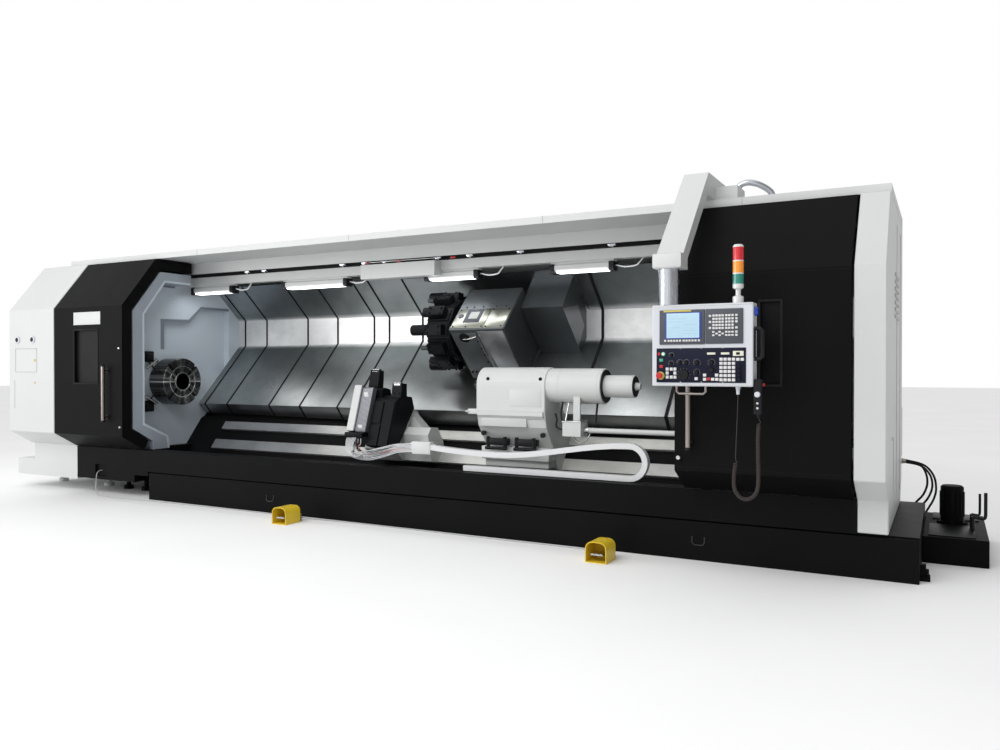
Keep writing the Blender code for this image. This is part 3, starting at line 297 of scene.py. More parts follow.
# Near black: painted shade in the chuck's holes and bore, and also the dark of the door seams and the
# housing port.
HOLE = paint("hole_dark", (0.008, 0.008, 0.008), 0.7, 0.1, 0, shine=0.1)
SEAM = paint("seam_grey", (0.3, 0.31, 0.32), 0.5)
DARK_SEAM = paint("seam_black", (0.03, 0.03, 0.032), 0.35)
PALE_SEAM = paint("panel_seam", (0.45, 0.45, 0.43), 0.5)
SHEET = cover_metal()
WAY = way_metal()
DISC = chuck_metal()
RACK = steel("rack_grey", (0.17, 0.17, 0.19), 0.42, (4, 4, 4), 0.2, 20, 0.35)
OILED = steel("oiled_iron", (0.155, 0.168, 0.175), 0.33, (2, 20, 20), 0.25, 5, 0.75)
FACED = steel("faced_plate", (0.44, 0.45, 0.46), 0.3, (2, 20, 20), 0.2, 5, 0.85)
TOOLING = steel("tool_black", (0.007, 0.008, 0.01), 0.44, (3, 3, 3), 0.35, 12, 0.12, shine=0.14)
BRIGHT = steel("bright_steel", (0.72, 0.72, 0.7), 0.2, (4, 4, 40), 0.2, 10)
TUBE = steel("polished_tube", (0.8, 0.82, 0.86), 0.24, (30, 30, 1), 0.08, 8)
HANDLE = steel("handle_bronze", (0.42, 0.37, 0.34), 0.28, (30, 30, 1), 0.2, 8)
PLATE = steel("bright_plate", (0.6, 0.61, 0.52), 0.3, (3, 30, 30), 0.15, 6)
LAMP = glow("lamp_light", (0.96, 0.98, 1.0), 5.0)
SCREEN = glow("screen_light", (0.56, 0.8, 0.95), 0.8)
START_LAMP = glow("start_light", (0.9, 1.0, 0.9), 0.8)
# Painted light: the housing's window glows, though there is no lamp behind it.
PAINTED_WINDOW_GLOW = glow("housing_window_painted_glow", (0.85, 0.9, 0.86), 0.5)
TOWER = stack_colours()
PANE = glass_dark()

# Finish of each solid; the covers are sheet metal and the rest is rubber
DRESS = {
    BLACK: "plinth bed apron left_door right_door",
    TANK_BLACK: "coolant_tank",
    WHITE: "headstock_base left_cabinet right_end rear_wall roof door_beam lamp_rail control_arm",
    LIT_WALL_GREY: "headstock",
    GREY: "front_frame",
    CAST_WHITE: "tailstock steady_base",
    HOSE_WHITE: "cable_chain",
    CASE: "control_panel",
    KNOB: "handset",
    YELLOW: "pedal_guard_1 pedal_guard_2",
    WAY: "way_lower way_upper",
    DISC: "chuck",
    BRIGHT: "quill pedal_1 pedal_2",
    OILED: "saddle cross_slide_base turret_housing",
    TOOLING: "turret steady_body",
    RACK: "steady_valves",
    HANDLE: "left_door_handle right_door_handle",
    TUBE: "arm_tube",
    TOWER: "stack_light",
    PANE: "left_window right_window",
}
FINISH_OF = {node: finish for finish, names in DRESS.items() for node in names.split()}

for node_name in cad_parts:
    is_cover = node_name.startswith(("cover_", "carriage_cover"))
    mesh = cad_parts[node_name].data
    mesh.materials.clear()
    mesh.materials.append(FINISH_OF.get(node_name, SHEET if is_cover else RUBBER))


# Piece building
def reach_of(line):
    """How far along the line each of its points lies."""
    reach = [0.0]
    for first, second in zip(line, line[1:]):
        reach.append(reach[-1] + (second - first).length)
    return reach


def places_along(line, reach, goals):
    """The place at each distance along the line, and the stretch of line that it lies on."""
    at = 0
    for goal in goals:
        while at < len(reach) - 2 and reach[at + 1] < goal:
            at += 1
        part = (goal - reach[at]) / (reach[at + 1] - reach[at])
        yield line[at].lerp(line[at + 1], part), line[at + 1] - line[at]


STEPS = 24
MOST_RINGS = 200
RING_SPACING = 1.6
RIB_WAIST = 0.93
MOST_ROUNDING = 0.45


def smooth_line(points, most, spacing):
    """Evenly spaced places on a smooth curve through the points; the end stretches stay straight."""
    spots = [Vector(point) for point in points]
    ends = [spots[0] * 2 - spots[1]] + spots + [spots[-1] * 2 - spots[-2]]
    fine = []
    for a, b, c, d in zip(ends, ends[1:], ends[2:], ends[3:]):
        for i in range(STEPS):
            t = i / STEPS
            linear = (c - a) * t
            square = (2 * a - 5 * b + 4 * c - d) * t ** 2
            cubic = (3 * b - a - 3 * c + d) * t ** 3
            fine.append(0.5 * (2 * b + linear + square + cubic))
    fine.append(spots[-1])
    reach = reach_of(fine)
    start, stop = reach[STEPS], reach[-STEPS - 1]
    count = min(most - 2, max(4, round((stop - start) / spacing)))
    goals = [start + (stop - start) * k / count for k in range(count + 1)]
    return [spots[0], *(place for place, _ in places_along(fine, reach, goals)), spots[-1]]


def circle(count, radius, first=0.0):
    """Evenly spaced places on a circle about the origin, from an angle in degrees on."""
    angles = [math.radians(first) + 2 * math.pi * i / count for i in range(count)]
    return [(radius * math.cos(angle), radius * math.sin(angle)) for angle in angles]


# The slant that the cross slide moves on: X, then up the slant, then out from it
HALF = math.sqrt(0.5)
SLIDE = Matrix(((1, 0, 0, 0), (0, HALF, -HALF, 0), (0, HALF, HALF, AXIS_Z), (0, 0, 0, 1)))
STANDING = {"Z": Matrix.Identity(4), "X": Matrix.Rotation(math.pi / 2, 4, "Y"),
            "Y": Matrix.Rotation(math.pi / 2, 4, "X")}


class Form:
    """Collects closed solids of one finish into one piece."""

    def __init__(self, place=None):
        self.mesh = bmesh.new()
        self.place = place or Matrix.Identity(4)

    def _take(self, part, place=None):
        part.transform(self.place @ (place or Matrix.Identity(4)))
        bmesh.ops.recalc_face_normals(part, faces=part.faces[:])
        held = bpy.data.meshes.new("held")
        part.to_mesh(held)
        part.free()
        self.mesh.from_mesh(held)
        bpy.data.meshes.remove(held)
        return self

    def _skin(self, part, rings):
        """Faces from ring to ring and over the open ends; a ring may be a single point."""
        for first, second in zip(rings, rings[1:]):
            count = max(len(first), len(second))
            for i in range(count):
                j = (i + 1) % count
                corners = [first[i % len(first)], first[j % len(first)],
                           second[j % len(second)], second[i % len(second)]]
                part.faces.new(list(dict.fromkeys(corners)))
        for end in (rings[0], rings[-1]):
            if len(end) > 1:
                part.faces.new(end)

    def box(self, low, high, bevel=0.0, place=None):
        """A block between two corners, with rounded edges where it has a bevel."""
        part = bmesh.new()
        bmesh.ops.create_cube(part, size=1.0)
        size = Vector(high) - Vector(low)
        middle = (Vector(high) + Vector(low)) / 2
        part.transform(Matrix.Translation(middle) @ Matrix.Diagonal((*size, 1)))
        if bevel:
            rounding = min(bevel, min(abs(s) for s in size) * MOST_ROUNDING)
            bmesh.ops.bevel(part, geom=part.edges[:], offset=rounding, segments=2, affect="EDGES",
                            profile=0.5)
        return self._take(part, place)

    def turned(self, profile, centre, axis, segments, place=None):
        """Spin (radius, along) points about an axis through centre."""
        part = bmesh.new()
        rings = []
        for radius, along in profile:
            around = circle(segments, radius) if radius else [(0, 0)]
            rings.append([part.verts.new((x, y, along)) for x, y in around])
        self._skin(part, rings)
        part.transform(Matrix.Translation(centre) @ STANDING[axis])
        return self._take(part, place)

    def cap(self, sides, centre, axis, segments, tip=None, place=None):
        """Spin sides of (radius, along) points and close them, flat or up to a tip."""
        top = sides[-1][1] if tip is None else tip
        return self.turned([(0, sides[0][1]), *sides, (0, top)], centre, axis, segments, place)

    def disc(self, radius, height, centre, axis, segments, top=None, place=None):
        """A flat cylinder, or a cone's stump where its top has another radius."""
        return self.cap([(radius, 0), (top or radius, height)], centre, axis, segments, None, place)

    def bolt(self, centre, axis, radius, height):
        """A socket cap screw head."""
        self.cap([(radius, 0), (radius, height * 0.85), (radius * 0.85, height), (radius * 0.5, height),
                  (radius * 0.45, height * 0.4)], centre, axis, 10)

    def rod(self, radius, start, end, segments):
        """A straight round bar between two places."""
        start, end = Vector(start), Vector(end)
        run = end - start
        part = bmesh.new()
        bmesh.ops.create_cone(part, cap_ends=True, segments=segments, radius1=radius, radius2=radius,
                              depth=run.length)
        turn = run.to_track_quat("Z", "Y").to_matrix().to_4x4()
        part.transform(Matrix.Translation((start + end) / 2) @ turn)
        return self._take(part)

    def tube(self, points, radius, segments=10, smooth=True, ribbed=0.0):
        """A closed round tube along a smooth line through the points, or straight from point to point."""
        line = [Vector(point) for point in points]
        if smooth:
            line = smooth_line(points, MOST_RINGS, ribbed or RING_SPACING * radius)
        part = bmesh.new()
        rings = []
        side = None
        for i, point in enumerate(line):
            ahead = (line[min(i + 1, len(line) - 1)] - line[max(i - 1, 0)]).normalized()
            if side is None:
                side = ahead.orthogonal().normalized()
            side = (side - ahead * side.dot(ahead)).normalized()
            other = ahead.cross(side)
            size = radius * (RIB_WAIST if ribbed and i % 2 else 1)
            rings.append([part.verts.new(point + x * side + y * other) for x, y in circle(segments, size)])
        self._skin(part, rings)
        return self._take(part)

    def prism(self, outline, low, high):
        """A (y, z) outline extruded along X."""
        part = bmesh.new()
        face = part.faces.new([part.verts.new((low, y, z)) for y, z in outline])
        made = bmesh.ops.extrude_face_region(part, geom=[face])
        moved = [v for v in made["geom"] if isinstance(v, bmesh.types.BMVert)]
        bmesh.ops.translate(part, verts=moved, vec=(high - low, 0, 0))
        return self._take(part)

    def done(self, name, finish, body, smooth=40):
        """Ends the piece; edges sharper than the smooth angle stay sharp, and 0 leaves all faces flat."""
        mesh = bpy.data.meshes.new(name)
        self.mesh.to_mesh(mesh)
        self.mesh.free()
        mesh.materials.append(finish)
        made = bpy.data.objects.new(name, mesh)
        scene.collection.objects.link(made)
        if smooth:
            mesh.shade_smooth()
            mesh.set_sharp_from_angle(angle=math.radians(smooth))
        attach(made, body)


def boxes(name, finish, body, solids, place=None, smooth=40):
    """One piece of boxes, each given by its two corners and, where it has one, its rounding."""
    form = Form(place)
    for solid in solids:
        form.box(*solid)
    form.done(name, finish, body, smooth)


# Leads
HOSE_RADIUS = 0.009
HOSE_POINTS = 78
HOSES = (
    (
        (4.3703, 1.365, 0.6), (4.4, 1.365, 0.6), (4.5, 1.375, 0.585), (4.556, 1.385, 0.52),
        (4.575, 1.39, 0.42), (4.545, 1.39, 0.32), (4.48, 1.37, 0.24), (4.43, 1.3, 0.165),
        (4.415, 1.19, 0.12), (4.415, 1.15, 0.11), (4.415, 1.125, 0.11), (4.415, 1.1003, 0.11),
    ),
    (
        (4.3703, 1.4, 0.585), (4.4, 1.4, 0.585), (4.52, 1.405, 0.562), (4.592, 1.41, 0.49),
        (4.612, 1.41, 0.39), (4.58, 1.405, 0.29), (4.52, 1.38, 0.21), (4.482, 1.3, 0.145),
        (4.475, 1.19, 0.115), (4.475, 1.15, 0.11), (4.475, 1.125, 0.11), (4.475, 1.1003, 0.11),
    ),
    (
        (4.3703, 1.435, 0.6), (4.4, 1.435, 0.6), (4.545, 1.435, 0.565), (4.62, 1.435, 0.48),
        (4.64, 1.435, 0.37), (4.622, 1.425, 0.28), (4.58, 1.39, 0.2), (4.545, 1.3, 0.14),
        (4.535, 1.19, 0.115), (4.535, 1.15, 0.11), (4.535, 1.125, 0.11), (4.535, 1.1003, 0.11),
    ),
)
PEDAL_CABLE_RADIUS = 0.0045
PEDAL_CABLE_POINTS = 160
PEDAL_CABLES = (
    (
        (-3.487, -0.5153, 0.262), (-3.487, -0.55, 0.262), (-3.484, -0.584, 0.235), (-3.474, -0.602, 0.16),
        (-3.45, -0.622, 0.07), (-3.4, -0.64, 0.018), (-3.32, -0.65, 0.0055), (-3.2, -0.652, 0.0055),
        (-2.986, -0.645, 0.0055), (-2.648, -0.626, 0.0055), (-2.113, -0.605, 0.0055), (-1.6, -0.596, 0.0055),
        (-1.1, -0.594, 0.0055), (-0.78, -0.6, 0.0055), (-0.6, -0.612, 0.006), (-0.545, -0.635, 0.013),
        (-0.525, -0.665, 0.02), (-0.525, -0.682, 0.02), (-0.525, -0.6997, 0.02),
    ),
    (
        (-0.475, -0.6997, 0.02), (-0.475, -0.682, 0.02), (-0.475, -0.665, 0.02), (-0.455, -0.635, 0.013),
        (-0.4, -0.612, 0.006), (-0.2, -0.598, 0.0055), (0.25, -0.59, 0.0055), (0.9, -0.594, 0.0055),
        (1.5, -0.6, 0.0055), (2.05, -0.598, 0.0055), (2.36, -0.606, 0.0055), (2.46, -0.63, 0.006),
        (2.505, -0.66, 0.013), (2.52, -0.695, 0.02), (2.52, -0.712, 0.02), (2.52, -0.7297, 0.02),
    ),
)
WIRE_RADIUS = 0.0023
CORD_Y = -1.15
PENDANT_CORD = [(x, CORD_Y, z) for x, z in ((3.553, 1.2217), (3.549, 1.1), (3.543, 0.96), (3.538, 0.8303))]
COIL_RADIUS = 0.013
COIL_PITCH = 0.0062
COIL_EASE = 0.03
COIL_STEPS = 14
COIL_POINTS = 400
PENDANT_COIL = [(x, CORD_Y, z) for x, z in (
    (3.538, 0.83), (3.538, 0.81), (3.538, 0.79), (3.532, 0.74), (3.528, 0.69), (3.532, 0.625),
    (3.56, 0.578), (3.602, 0.562), (3.645, 0.58), (3.672, 0.625), (3.679, 0.7), (3.677, 0.82),
    (3.676, 0.95), (3.68, 1.03), (3.68, 1.055), (3.68, 1.0797),
)]
CONDUIT = (
    (3.33, -0.16, 2.7), (3.345, -0.16, 2.752), (3.4, -0.152, 2.772), (3.465, -0.135, 2.76),
    (3.52, -0.105, 2.732), (3.556, -0.078, 2.7), (3.566, -0.066, 2.67),
    (3.566, -0.066, 2.65), (3.566, -0.066, 2.6303),
)


def lead(name, line, radius, finish, body, nodes, **facts):
    """A round cable or hose along a line, in place of its plain CAD solids."""
    curve = bpy.data.curves.new(name, "CURVE")
    curve.dimensions = "3D"
    curve.bevel_depth = radius
    curve.bevel_resolution = 3
    curve.use_fill_caps = True
    spline = curve.splines.new("POLY")
    spline.points.add(len(line) - 1)
    for spot, place in zip(spline.points, line):
        spot.co = (*place, 1)
    spline.use_smooth = True
    curve.materials.append(finish)
    made = bpy.data.objects.new(name, curve)
    scene.collection.objects.link(made)
    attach(made, body)
    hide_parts(*nodes)
    facts.pop("slot")


def curly(points, turn_radius, pitch):
    """A curly lead's own line: straight in, out to the coil's side, round it, and back to the middle."""
    middle = smooth_line(points, COIL_POINTS, 0.004)
    reach = reach_of(middle)
    total = reach[-1]
    count = round(total / pitch * COIL_STEPS)
    goals = [total * k / count for k in range(count + 1)]
    side = Vector((0, 1, 0))
    line = []
    turn = 0.0
    for goal, (spot, run) in zip(goals, places_along(middle, reach, goals)):
        other = run.normalized().cross(side)
        near = min(goal, total - goal)
        swing = min(1.0, near / COIL_EASE)
        wind = min(1.0, max(0.0, (near - COIL_EASE) / COIL_EASE))
        turn += 2 * math.pi / pitch * total / count * wind
        out = turn_radius * swing * swing * (3 - 2 * swing)
        line.append(spot + out * (math.cos(turn) * side + math.sin(turn) * other))
    return line


for i, points in enumerate(HOSES):
    line = smooth_line(points, HOSE_POINTS, 2.5 * HOSE_RADIUS)
    lead(f"coolant_hose_{i + 1}", line, HOSE_RADIUS, RUBBER, "base", [f"hose_{i + 1}"],
         slot="black_rubber", far_end="object", stiffness="stiff", lay="hanging")
for i, points in enumerate(PEDAL_CABLES):
    line = smooth_line(points, PEDAL_CABLE_POINTS, 4 * PEDAL_CABLE_RADIUS)
    lead(f"foot_cable_{i + 1}", line, PEDAL_CABLE_RADIUS, CABLE_GREY, "base", [f"pedal_cable_{i + 1}"],
         slot="white_plastic", far_end="object", stiffness="medium", lay="loose")
wire = smooth_line(PENDANT_CORD, 40, 0.012)[:-1] + curly(PENDANT_COIL, COIL_RADIUS - WIRE_RADIUS, COIL_PITCH)
lead("handset_lead", wire, WIRE_RADIUS, COIL_RUBBER, "panel_body", ["pendant_cord", "pendant_coil"],
     slot="black_rubber", far_end="object", stiffness="limp", lay="hanging")

form = Form()
for points in HOSES:
    form.turned([(0.0095, 0), (0.0135, 0), (0.0135, 0.018), (0.0115, 0.02), (0.0105, 0.042),
                 (0.0095, 0.042)], points[0], "X", 18)
form.done("hose_fittings", HANDLE, "base")
form = Form()
for x, y, z in (PEDAL_CABLES[0][-1], PEDAL_CABLES[1][0], PEDAL_CABLES[1][-1]):
    form.turned([(0.0048, 0), (0.009, 0), (0.008, -0.006), (0.0062, -0.03), (0.0048, -0.03)],
                (x, y + 0.0002, z), "Y", 14)
form.done("foot_cable_reliefs", KNOB, "base")

# Control panel: its places come from an enlarged photograph, as pixels
PANEL_Y = -1.2
UNIT_Y = PANEL_Y - 0.01
KEYPAD_Y = UNIT_Y + 0.002
BOARD_Y = PANEL_Y - 0.004
PANEL_X = (3.006, 3.655)
PANEL_Z = (1.272, 1.8)
PIXELS_X = (163, 1300)
PIXELS_Z = (115, 1060)


def face(x, y):
    """A point (X, Z) on the panel's front from its pixel."""
    across = (x - PIXELS_X[0]) / (PIXELS_X[1] - PIXELS_X[0])
    down = (y - PIXELS_Z[0]) / (PIXELS_Z[1] - PIXELS_Z[0])
    return PANEL_X[0] + across * (PANEL_X[1] - PANEL_X[0]), PANEL_Z[1] - down * (PANEL_Z[1] - PANEL_Z[0])


def on_face(x, y, base):
    """The same point in space, on the plane Y = base."""
    a, b = face(x, y)
    return a, base, b


def pad(form, x0, y0, x1, y1, proud, bevel, base=PANEL_Y):
    """A flat block from pixel to pixel, proud of its base and sunk 2 mm into it."""
    a, b = face(x0, y1), face(x1, y0)
    form.box((a[0], base - proud, a[1]), (b[0], base + 0.002, b[1]), bevel)


def pads(form, spots, half_x, half_y, proud, bevel, base):
    """Keys of one size, each centred on its pixel."""
    for x, y in spots:
        pad(form, x - half_x, y - half_y, x + half_x, y + half_y, proud, bevel, base)


def dial(form, x, y, radius, depth, top=0.85):
    """A round knob on the board, narrower at its top by that share."""
    form.cap([(radius, 0), (radius, depth * 0.6), (radius * top, depth)], on_face(x, y, BOARD_Y), "Y", 20)


form = Form()
pad(form, 255, 178, 775, 578, 0.01, 0.004)
pad(form, 781, 178, 1195, 575, 0.008, 0.004)
form.done("display_unit", DARK_UNIT, "panel_body")
for name, finish, corners, proud, bevel, base in (
    ("display_bezel", BLUE, (328, 208, 735, 512), 0.004, 0.001, UNIT_Y),
    ("display_screen", SCREEN, (342, 217, 716, 503), 0.0055, 0.0006, UNIT_Y),
    ("display_bar", AMBER, (305, 182, 625, 201), 0.003, 0.001, UNIT_Y),
    ("panel_board", BOARD, (218, 620, 1225, 1018), 0.004, 0.002, PANEL_Y),
):
    form = Form()
    pad(form, *corners, proud, bevel, base)
    form.done(name, finish, "panel_body")
form = Form()
ROWS = ((360, 470), (360, 560), (360, 520), (560, 690), (360, 500), (540, 700), (540, 700))
FIRST_ROW = 246
ROW_STEP = 34
for row, (x0, x1) in enumerate(ROWS):
    y = FIRST_ROW + row * ROW_STEP
    pad(form, x0, y, x1, y + 3, 0.0062, 0, UNIT_Y)
form.done("display_lines", INK, "panel_body")

form = Form()
soft_keys = product((325, 366, 398, 431, 464, 498, 540, 572, 606, 640, 674, 712), (533,))
pads(form, soft_keys, 12, 12, 0.005, 0.0015, UNIT_Y)
letter_keys = product((875, 908, 942, 975, 1015, 1048, 1083), (255, 292, 327, 363, 398))
left_keys = product((835,), (258, 327, 395))
right_keys = product((1125,), (255, 292, 327, 395, 442, 478))
pads(form, (*letter_keys, *left_keys, *right_keys), 13, 12, 0.005, 0.0015, KEYPAD_Y)
arrow_keys = ((873, 440), (942, 440), (908, 460), (975, 460), (873, 478), (942, 478), (1015, 442),
              (1048, 442), (1083, 442), (1015, 478), (1048, 478), (1083, 478))
pads(form, arrow_keys, 13, 10, 0.005, 0.0015, KEYPAD_Y)
board_keys = product((957, 1002, 1047, 1093), (750, 797, 843, 888, 935, 983))
loose_keys = ((1140, 752), (1187, 752), (775, 978), (865, 978), (910, 978), (775, 930), (908, 930),
              (680, 972))
pads(form, (*board_keys, *loose_keys), 18, 17, 0.006, 0.002, BOARD_Y)
cross_keys = set(product((347, 394, 437), (862, 908, 955))) - {(394, 908)}
pads(form, sorted(cross_keys), 17, 18, 0.006, 0.002, BOARD_Y)
form.done("panel_keys", KEY, "panel_body")

form = Form()
pads(form, ((847, 685), (1001, 685)), 46, 12, 0.004, 0.001, BOARD_Y)
pad(form, 1085, 658, 1200, 714, 0.003, 0.001, BOARD_Y)
form.done("panel_counters", COUNTER, "panel_body")
form = Form()
KNOBS = ((395, 697, 0.011), (390, 797, 0.012), (492, 785, 0.013), (567, 785, 0.013), (685, 787, 0.015),
         (850, 787, 0.015), (685, 900, 0.015), (850, 872, 0.017), (1160, 830, 0.01), (1160, 885, 0.01),
         (1160, 930, 0.01), (1160, 975, 0.01))
for x, y, radius in KNOBS:
    dial(form, x, y, radius, 0.016, 0.7)
dial(form, 537, 925, 0.036, 0.026, 0.94)
pad(form, 1120, 672, 1160, 700, 0.006, 0.001, BOARD_Y)
form.done("panel_knobs", KNOB, "panel_body")
form = Form()
SCALES = ((395, 697, 0.016), (492, 785, 0.019), (567, 785, 0.019), (685, 787, 0.022), (850, 787, 0.022),
          (685, 900, 0.021), (537, 925, 0.041), (390, 797, 0.018))
for x, y, radius in SCALES:
    centre = Matrix.Translation(on_face(x, y, BOARD_Y - 0.0005))
    for i in range(9):
        turn = centre @ Matrix.Rotation(math.radians(-120 + 30 * i), 4, "Y")
        form.box((-0.0007, -0.0005, radius - 0.002), (0.0007, 0.001, radius + 0.002), 0, turn)
form.done("panel_ticks", KEY, "panel_body", 0)
form = Form()
dial(form, 270, 938, 0.026, 0.01)
form.done("stop_ring", AMBER, "panel_body")
form = Form()
form.cap([(0.01, 0), (0.01, 0.02), (0.021, 0.022), (0.021, 0.032), (0.017, 0.036)],
         on_face(266, 938, BOARD_Y), "Y", 24, 0.037)
dial(form, 252, 685, 0.01, 0.008)
pad(form, 258, 815, 298, 848, 0.006, 0.002, BOARD_Y)
pad(form, 802, 958, 838, 990, 0.007, 0.002, BOARD_Y)
form.done("stop_button", RED, "panel_body")
form = Form()
pad(form, 255, 740, 298, 775, 0.006, 0.002, BOARD_Y)
dial(form, 300, 686, 0.014, 0.005)
form.done("start_button", GREEN, "panel_body")
form = Form()
dial(form, 300, 686, 0.01, 0.009)
form.done("start_lamp", START_LAMP, "panel_body")
form = Form()
form.cap([(0.03, 0), (0.03, 0.012), (0.022, 0.022)], (PANEL_X[1], -1.15, 1.745), "X", 20, 0.024)
form.done("side_button", BLUE, "panel_body")


def bow(form, start, out, corner, length, axis, radius):
    """A straight-sided grip: out from the panel, cut across at its corners, along, and back."""
    along = Vector(axis) * length
    cut = Vector(axis) * corner
    root = Vector(start)
    out = Vector(out)
    shoulder = out * (1 - corner / out.length)
    form.tube([root, root + shoulder, root + out + cut, root + along + out - cut, root + along + shoulder,
               root + along], radius, 12, False)


form = Form()
form.box((PANEL_X[1] - 0.001, -1.19, 1.455), (PANEL_X[1] + 0.012, -1.17, 1.64), 0.003)
bow(form, (PANEL_X[1] + 0.0005, -1.165, 1.637), (0.0495, 0, 0), 0.015, 0.19, (0, 0, -1), 0.0131)
form.done("side_grip", KNOB, "panel_body")
form = Form()
bow(form, (3.155, -1.14, PANEL_Z[0] - 0.0005), (0, 0, -0.0495), 0.015, 0.19, (1, 0, 0), 0.008)
form.done("panel_loop", HANDLE, "panel_body")
form = Form()
for x, y in product((500, 738, 975), (622, 1012)):
    form.bolt(on_face(x, y, BOARD_Y), "Y", 0.004, 0.003)
form.done("panel_screws", BRIGHT, "panel_body")
boxes("panel_rim", WHITE, "panel_body",
      [((PANEL_X[0] + 0.01, PANEL_Y - 0.003, z), (PANEL_X[1] - 0.01, PANEL_Y + 0.002, z + 0.006), 0.001)
       for z in (PANEL_Z[1] - 0.012, PANEL_Z[0] + 0.006)])

# Handset on the panel's side
form = Form()
form.cap([(0.018, 0), (0.018, 0.01), (0.014, 0.014)], (3.68, -1.19, 1.225), "Y", 18)
for z in (1.14, 1.17):
    form.disc(0.008, 0.008, (3.68, -1.19, z), "Y", 12, 0.006)
form.done("handset_dials", CASE, "panel_body")
form = Form()
form.cap([(0.01, 0), (0.01, 0.012)], (3.705, -1.15, 1.285), "X", 14, 0.014)
form.done("handset_button", RED, "panel_body")

# Lamps and rail
LAMP_SPANS = ((-2.95, -2.305), (-1.565, -0.696), (0.257, 0.851), (1.597, 2.194))
boxes("lamp_tubes", LAMP, "base",
      [((low + 0.06, 0.25, 2.232), (high - 0.06, 0.338, 2.2452), 0.005) for low, high in LAMP_SPANS])
boxes("lamp_caps", KNOB, "base",
      [((x, 0.24, 2.228), (x + 0.05, 0.348, 2.312), 0.008)
       for low, high in LAMP_SPANS for x in (low - 0.005, high - 0.045)])
form = Form()
for _, end in LAMP_SPANS:
    form.tube([(end, 0.3, 2.28), (end + 0.08, 0.3, 2.26), (end + 0.2, 0.29, 2.27),
               (end + 0.26, 0.285, 2.331)], 0.007)
form.done("lamp_wires", HOSE_WHITE, "base")
form = Form()
for i in range(24):
    form.disc(0.006, 0.003, (-2.9 + i * 0.3, 0.24, 2.4), "Y", 8, 0.005)
form.done("rail_screws", CASE, "base")

# Fittings under the door beam, below the doors' path
BEAM_Z = 2.4498
CLIP_PLACES = (-2.05, -1.8, -0.73, -0.45, -0.2, 0.42, 0.77, 1.3, 2.17)
clips = Form()
pins = Form()
for x in CLIP_PLACES:
    clips.box((x, 0.172, 2.432), (x + 0.07, 0.212, BEAM_Z), 0.003)
    clips.box((x + 0.012, 0.167, 2.424), (x + 0.058, 0.177, 2.4345), 0.002)
    pins.rod(0.006, (x + 0.035, 0.19, 2.416), (x + 0.035, 0.19, BEAM_Z), 10)
clips.done("beam_clips", TUBE, "base")
pins.done("beam_pins", BRIGHT, "base")
Form().rod(0.006, (-0.35, 0.175, 2.4375), (0.45, 0.175, 2.4375), 12).done("beam_rods", BRIGHT, "base")
boxes("beam_levers", RED, "base",
      [((x, 0.1665, 2.421), (x + 0.055, 0.1745, 2.437), 0.002) for x in (-0.4, -0.02, 0.6)])
# Painted shade: black strips in the slot between the door beam and the lamp rail, where it lies in shade.
boxes("beam_slot_shade", RUBBER, "base",
      [((-3.04, 0.222, 2.4205), (4.19, 0.239, 2.4495), 0.001),
       ((-3.04, 0.1662, 2.447), (4.19, 0.2192, 2.4502), 0.001)])

# Left cabinet
form = Form()
faces = Form()
for x in (-4.557, -4.28):
    form.cap([(0.04, 0), (0.04, 0.01), (0.034, 0.014)], (x, FRONT_Y, 1.707), "Y", 24)
    faces.disc(0.026, 0.004, (x, FRONT_Y - 0.0135, 1.707), "Y", 20, 0.022)
form.done("cabinet_gauges", CASE, "base")
faces.done("cabinet_gauge_faces", KNOB, "base")


def front_plate(x0, z0, x1, z1, proud, bevel=0.0):
    """A thin plate on the front of the doors or of the left cabinet, as a box."""
    return (x0, FRONT_Y - proud, z0), (x1, FRONT_Y + 0.0005, z1), bevel


boxes("cabinet_seams", SEAM, "base",
      [front_plate(-4.602, 1.604, -4.208, 1.608, 0.002), front_plate(-4.602, 1.342, -4.208, 1.346, 0.002),
       front_plate(-4.602, 1.344, -4.598, 1.606, 0.002), front_plate(-4.212, 1.344, -4.208, 1.606, 0.002),
       front_plate(-4.62, 0.93, -4.616, 1.25, 0.002)], None, 0)
form = Form()
form.disc(0.016, 0.006, (-4.245, FRONT_Y, 1.475), "Y", 16, 0.014)
form.disc(0.012, 0.005, (-4.245, FRONT_Y, 1.225), "Y", 16, 0.01)
form.done("cabinet_buttons", AMBER, "base")

# Doors
SEAL = 0.014
DOORS = (
    ("left", (-3.9, -2.78), (-3.55, -3.17), (1.23, 1.79)),
    ("right", (3.04, 4.18), (3.62, 3.75), (1.28, 1.83)),
)
for name, (left, right), (a, b), (c, d) in DOORS:
    body = f"{name}_door_body"
    sides = ((a - SEAL, c - SEAL, b + SEAL, c + 0.002), (a - SEAL, d - 0.002, b + SEAL, d + SEAL),
             (a - SEAL, c, a + 0.002, d), (b - 0.002, c, b + SEAL, d))
    boxes(f"{name}_window_seal", RUBBER, body, [front_plate(*side, 0.004, 0.002) for side in sides])
    boxes(f"{name}_door_seams", HOLE, body,
          [front_plate(left + 0.03, z, right - 0.03, z + 0.004, 0.0012) for z in (0.7, 2.02)], None, 0)
form = Form()
for x, z in ((-2.812, 1.593), (-2.8, 0.775)):
    form.cap([(0.014, 0), (0.014, 0.006), (0.01, 0.02)], (x, FRONT_Y, z), "Y", 14, 0.022)
form.done("left_door_knobs", BRIGHT, "left_door_body")
form = Form()
form.cap([(0.02, 0), (0.02, 0.01), (0.014, 0.035)], (3.075, FRONT_Y, 0.768), "Y", 14, 0.038)
form.done("right_door_knob", BRIGHT, "right_door_body")
boxes("door_blank_plate", WHITE, "left_door_body", [front_plate(-3.56, 1.85, -3.12, 1.985, 0.0035, 0.003)])
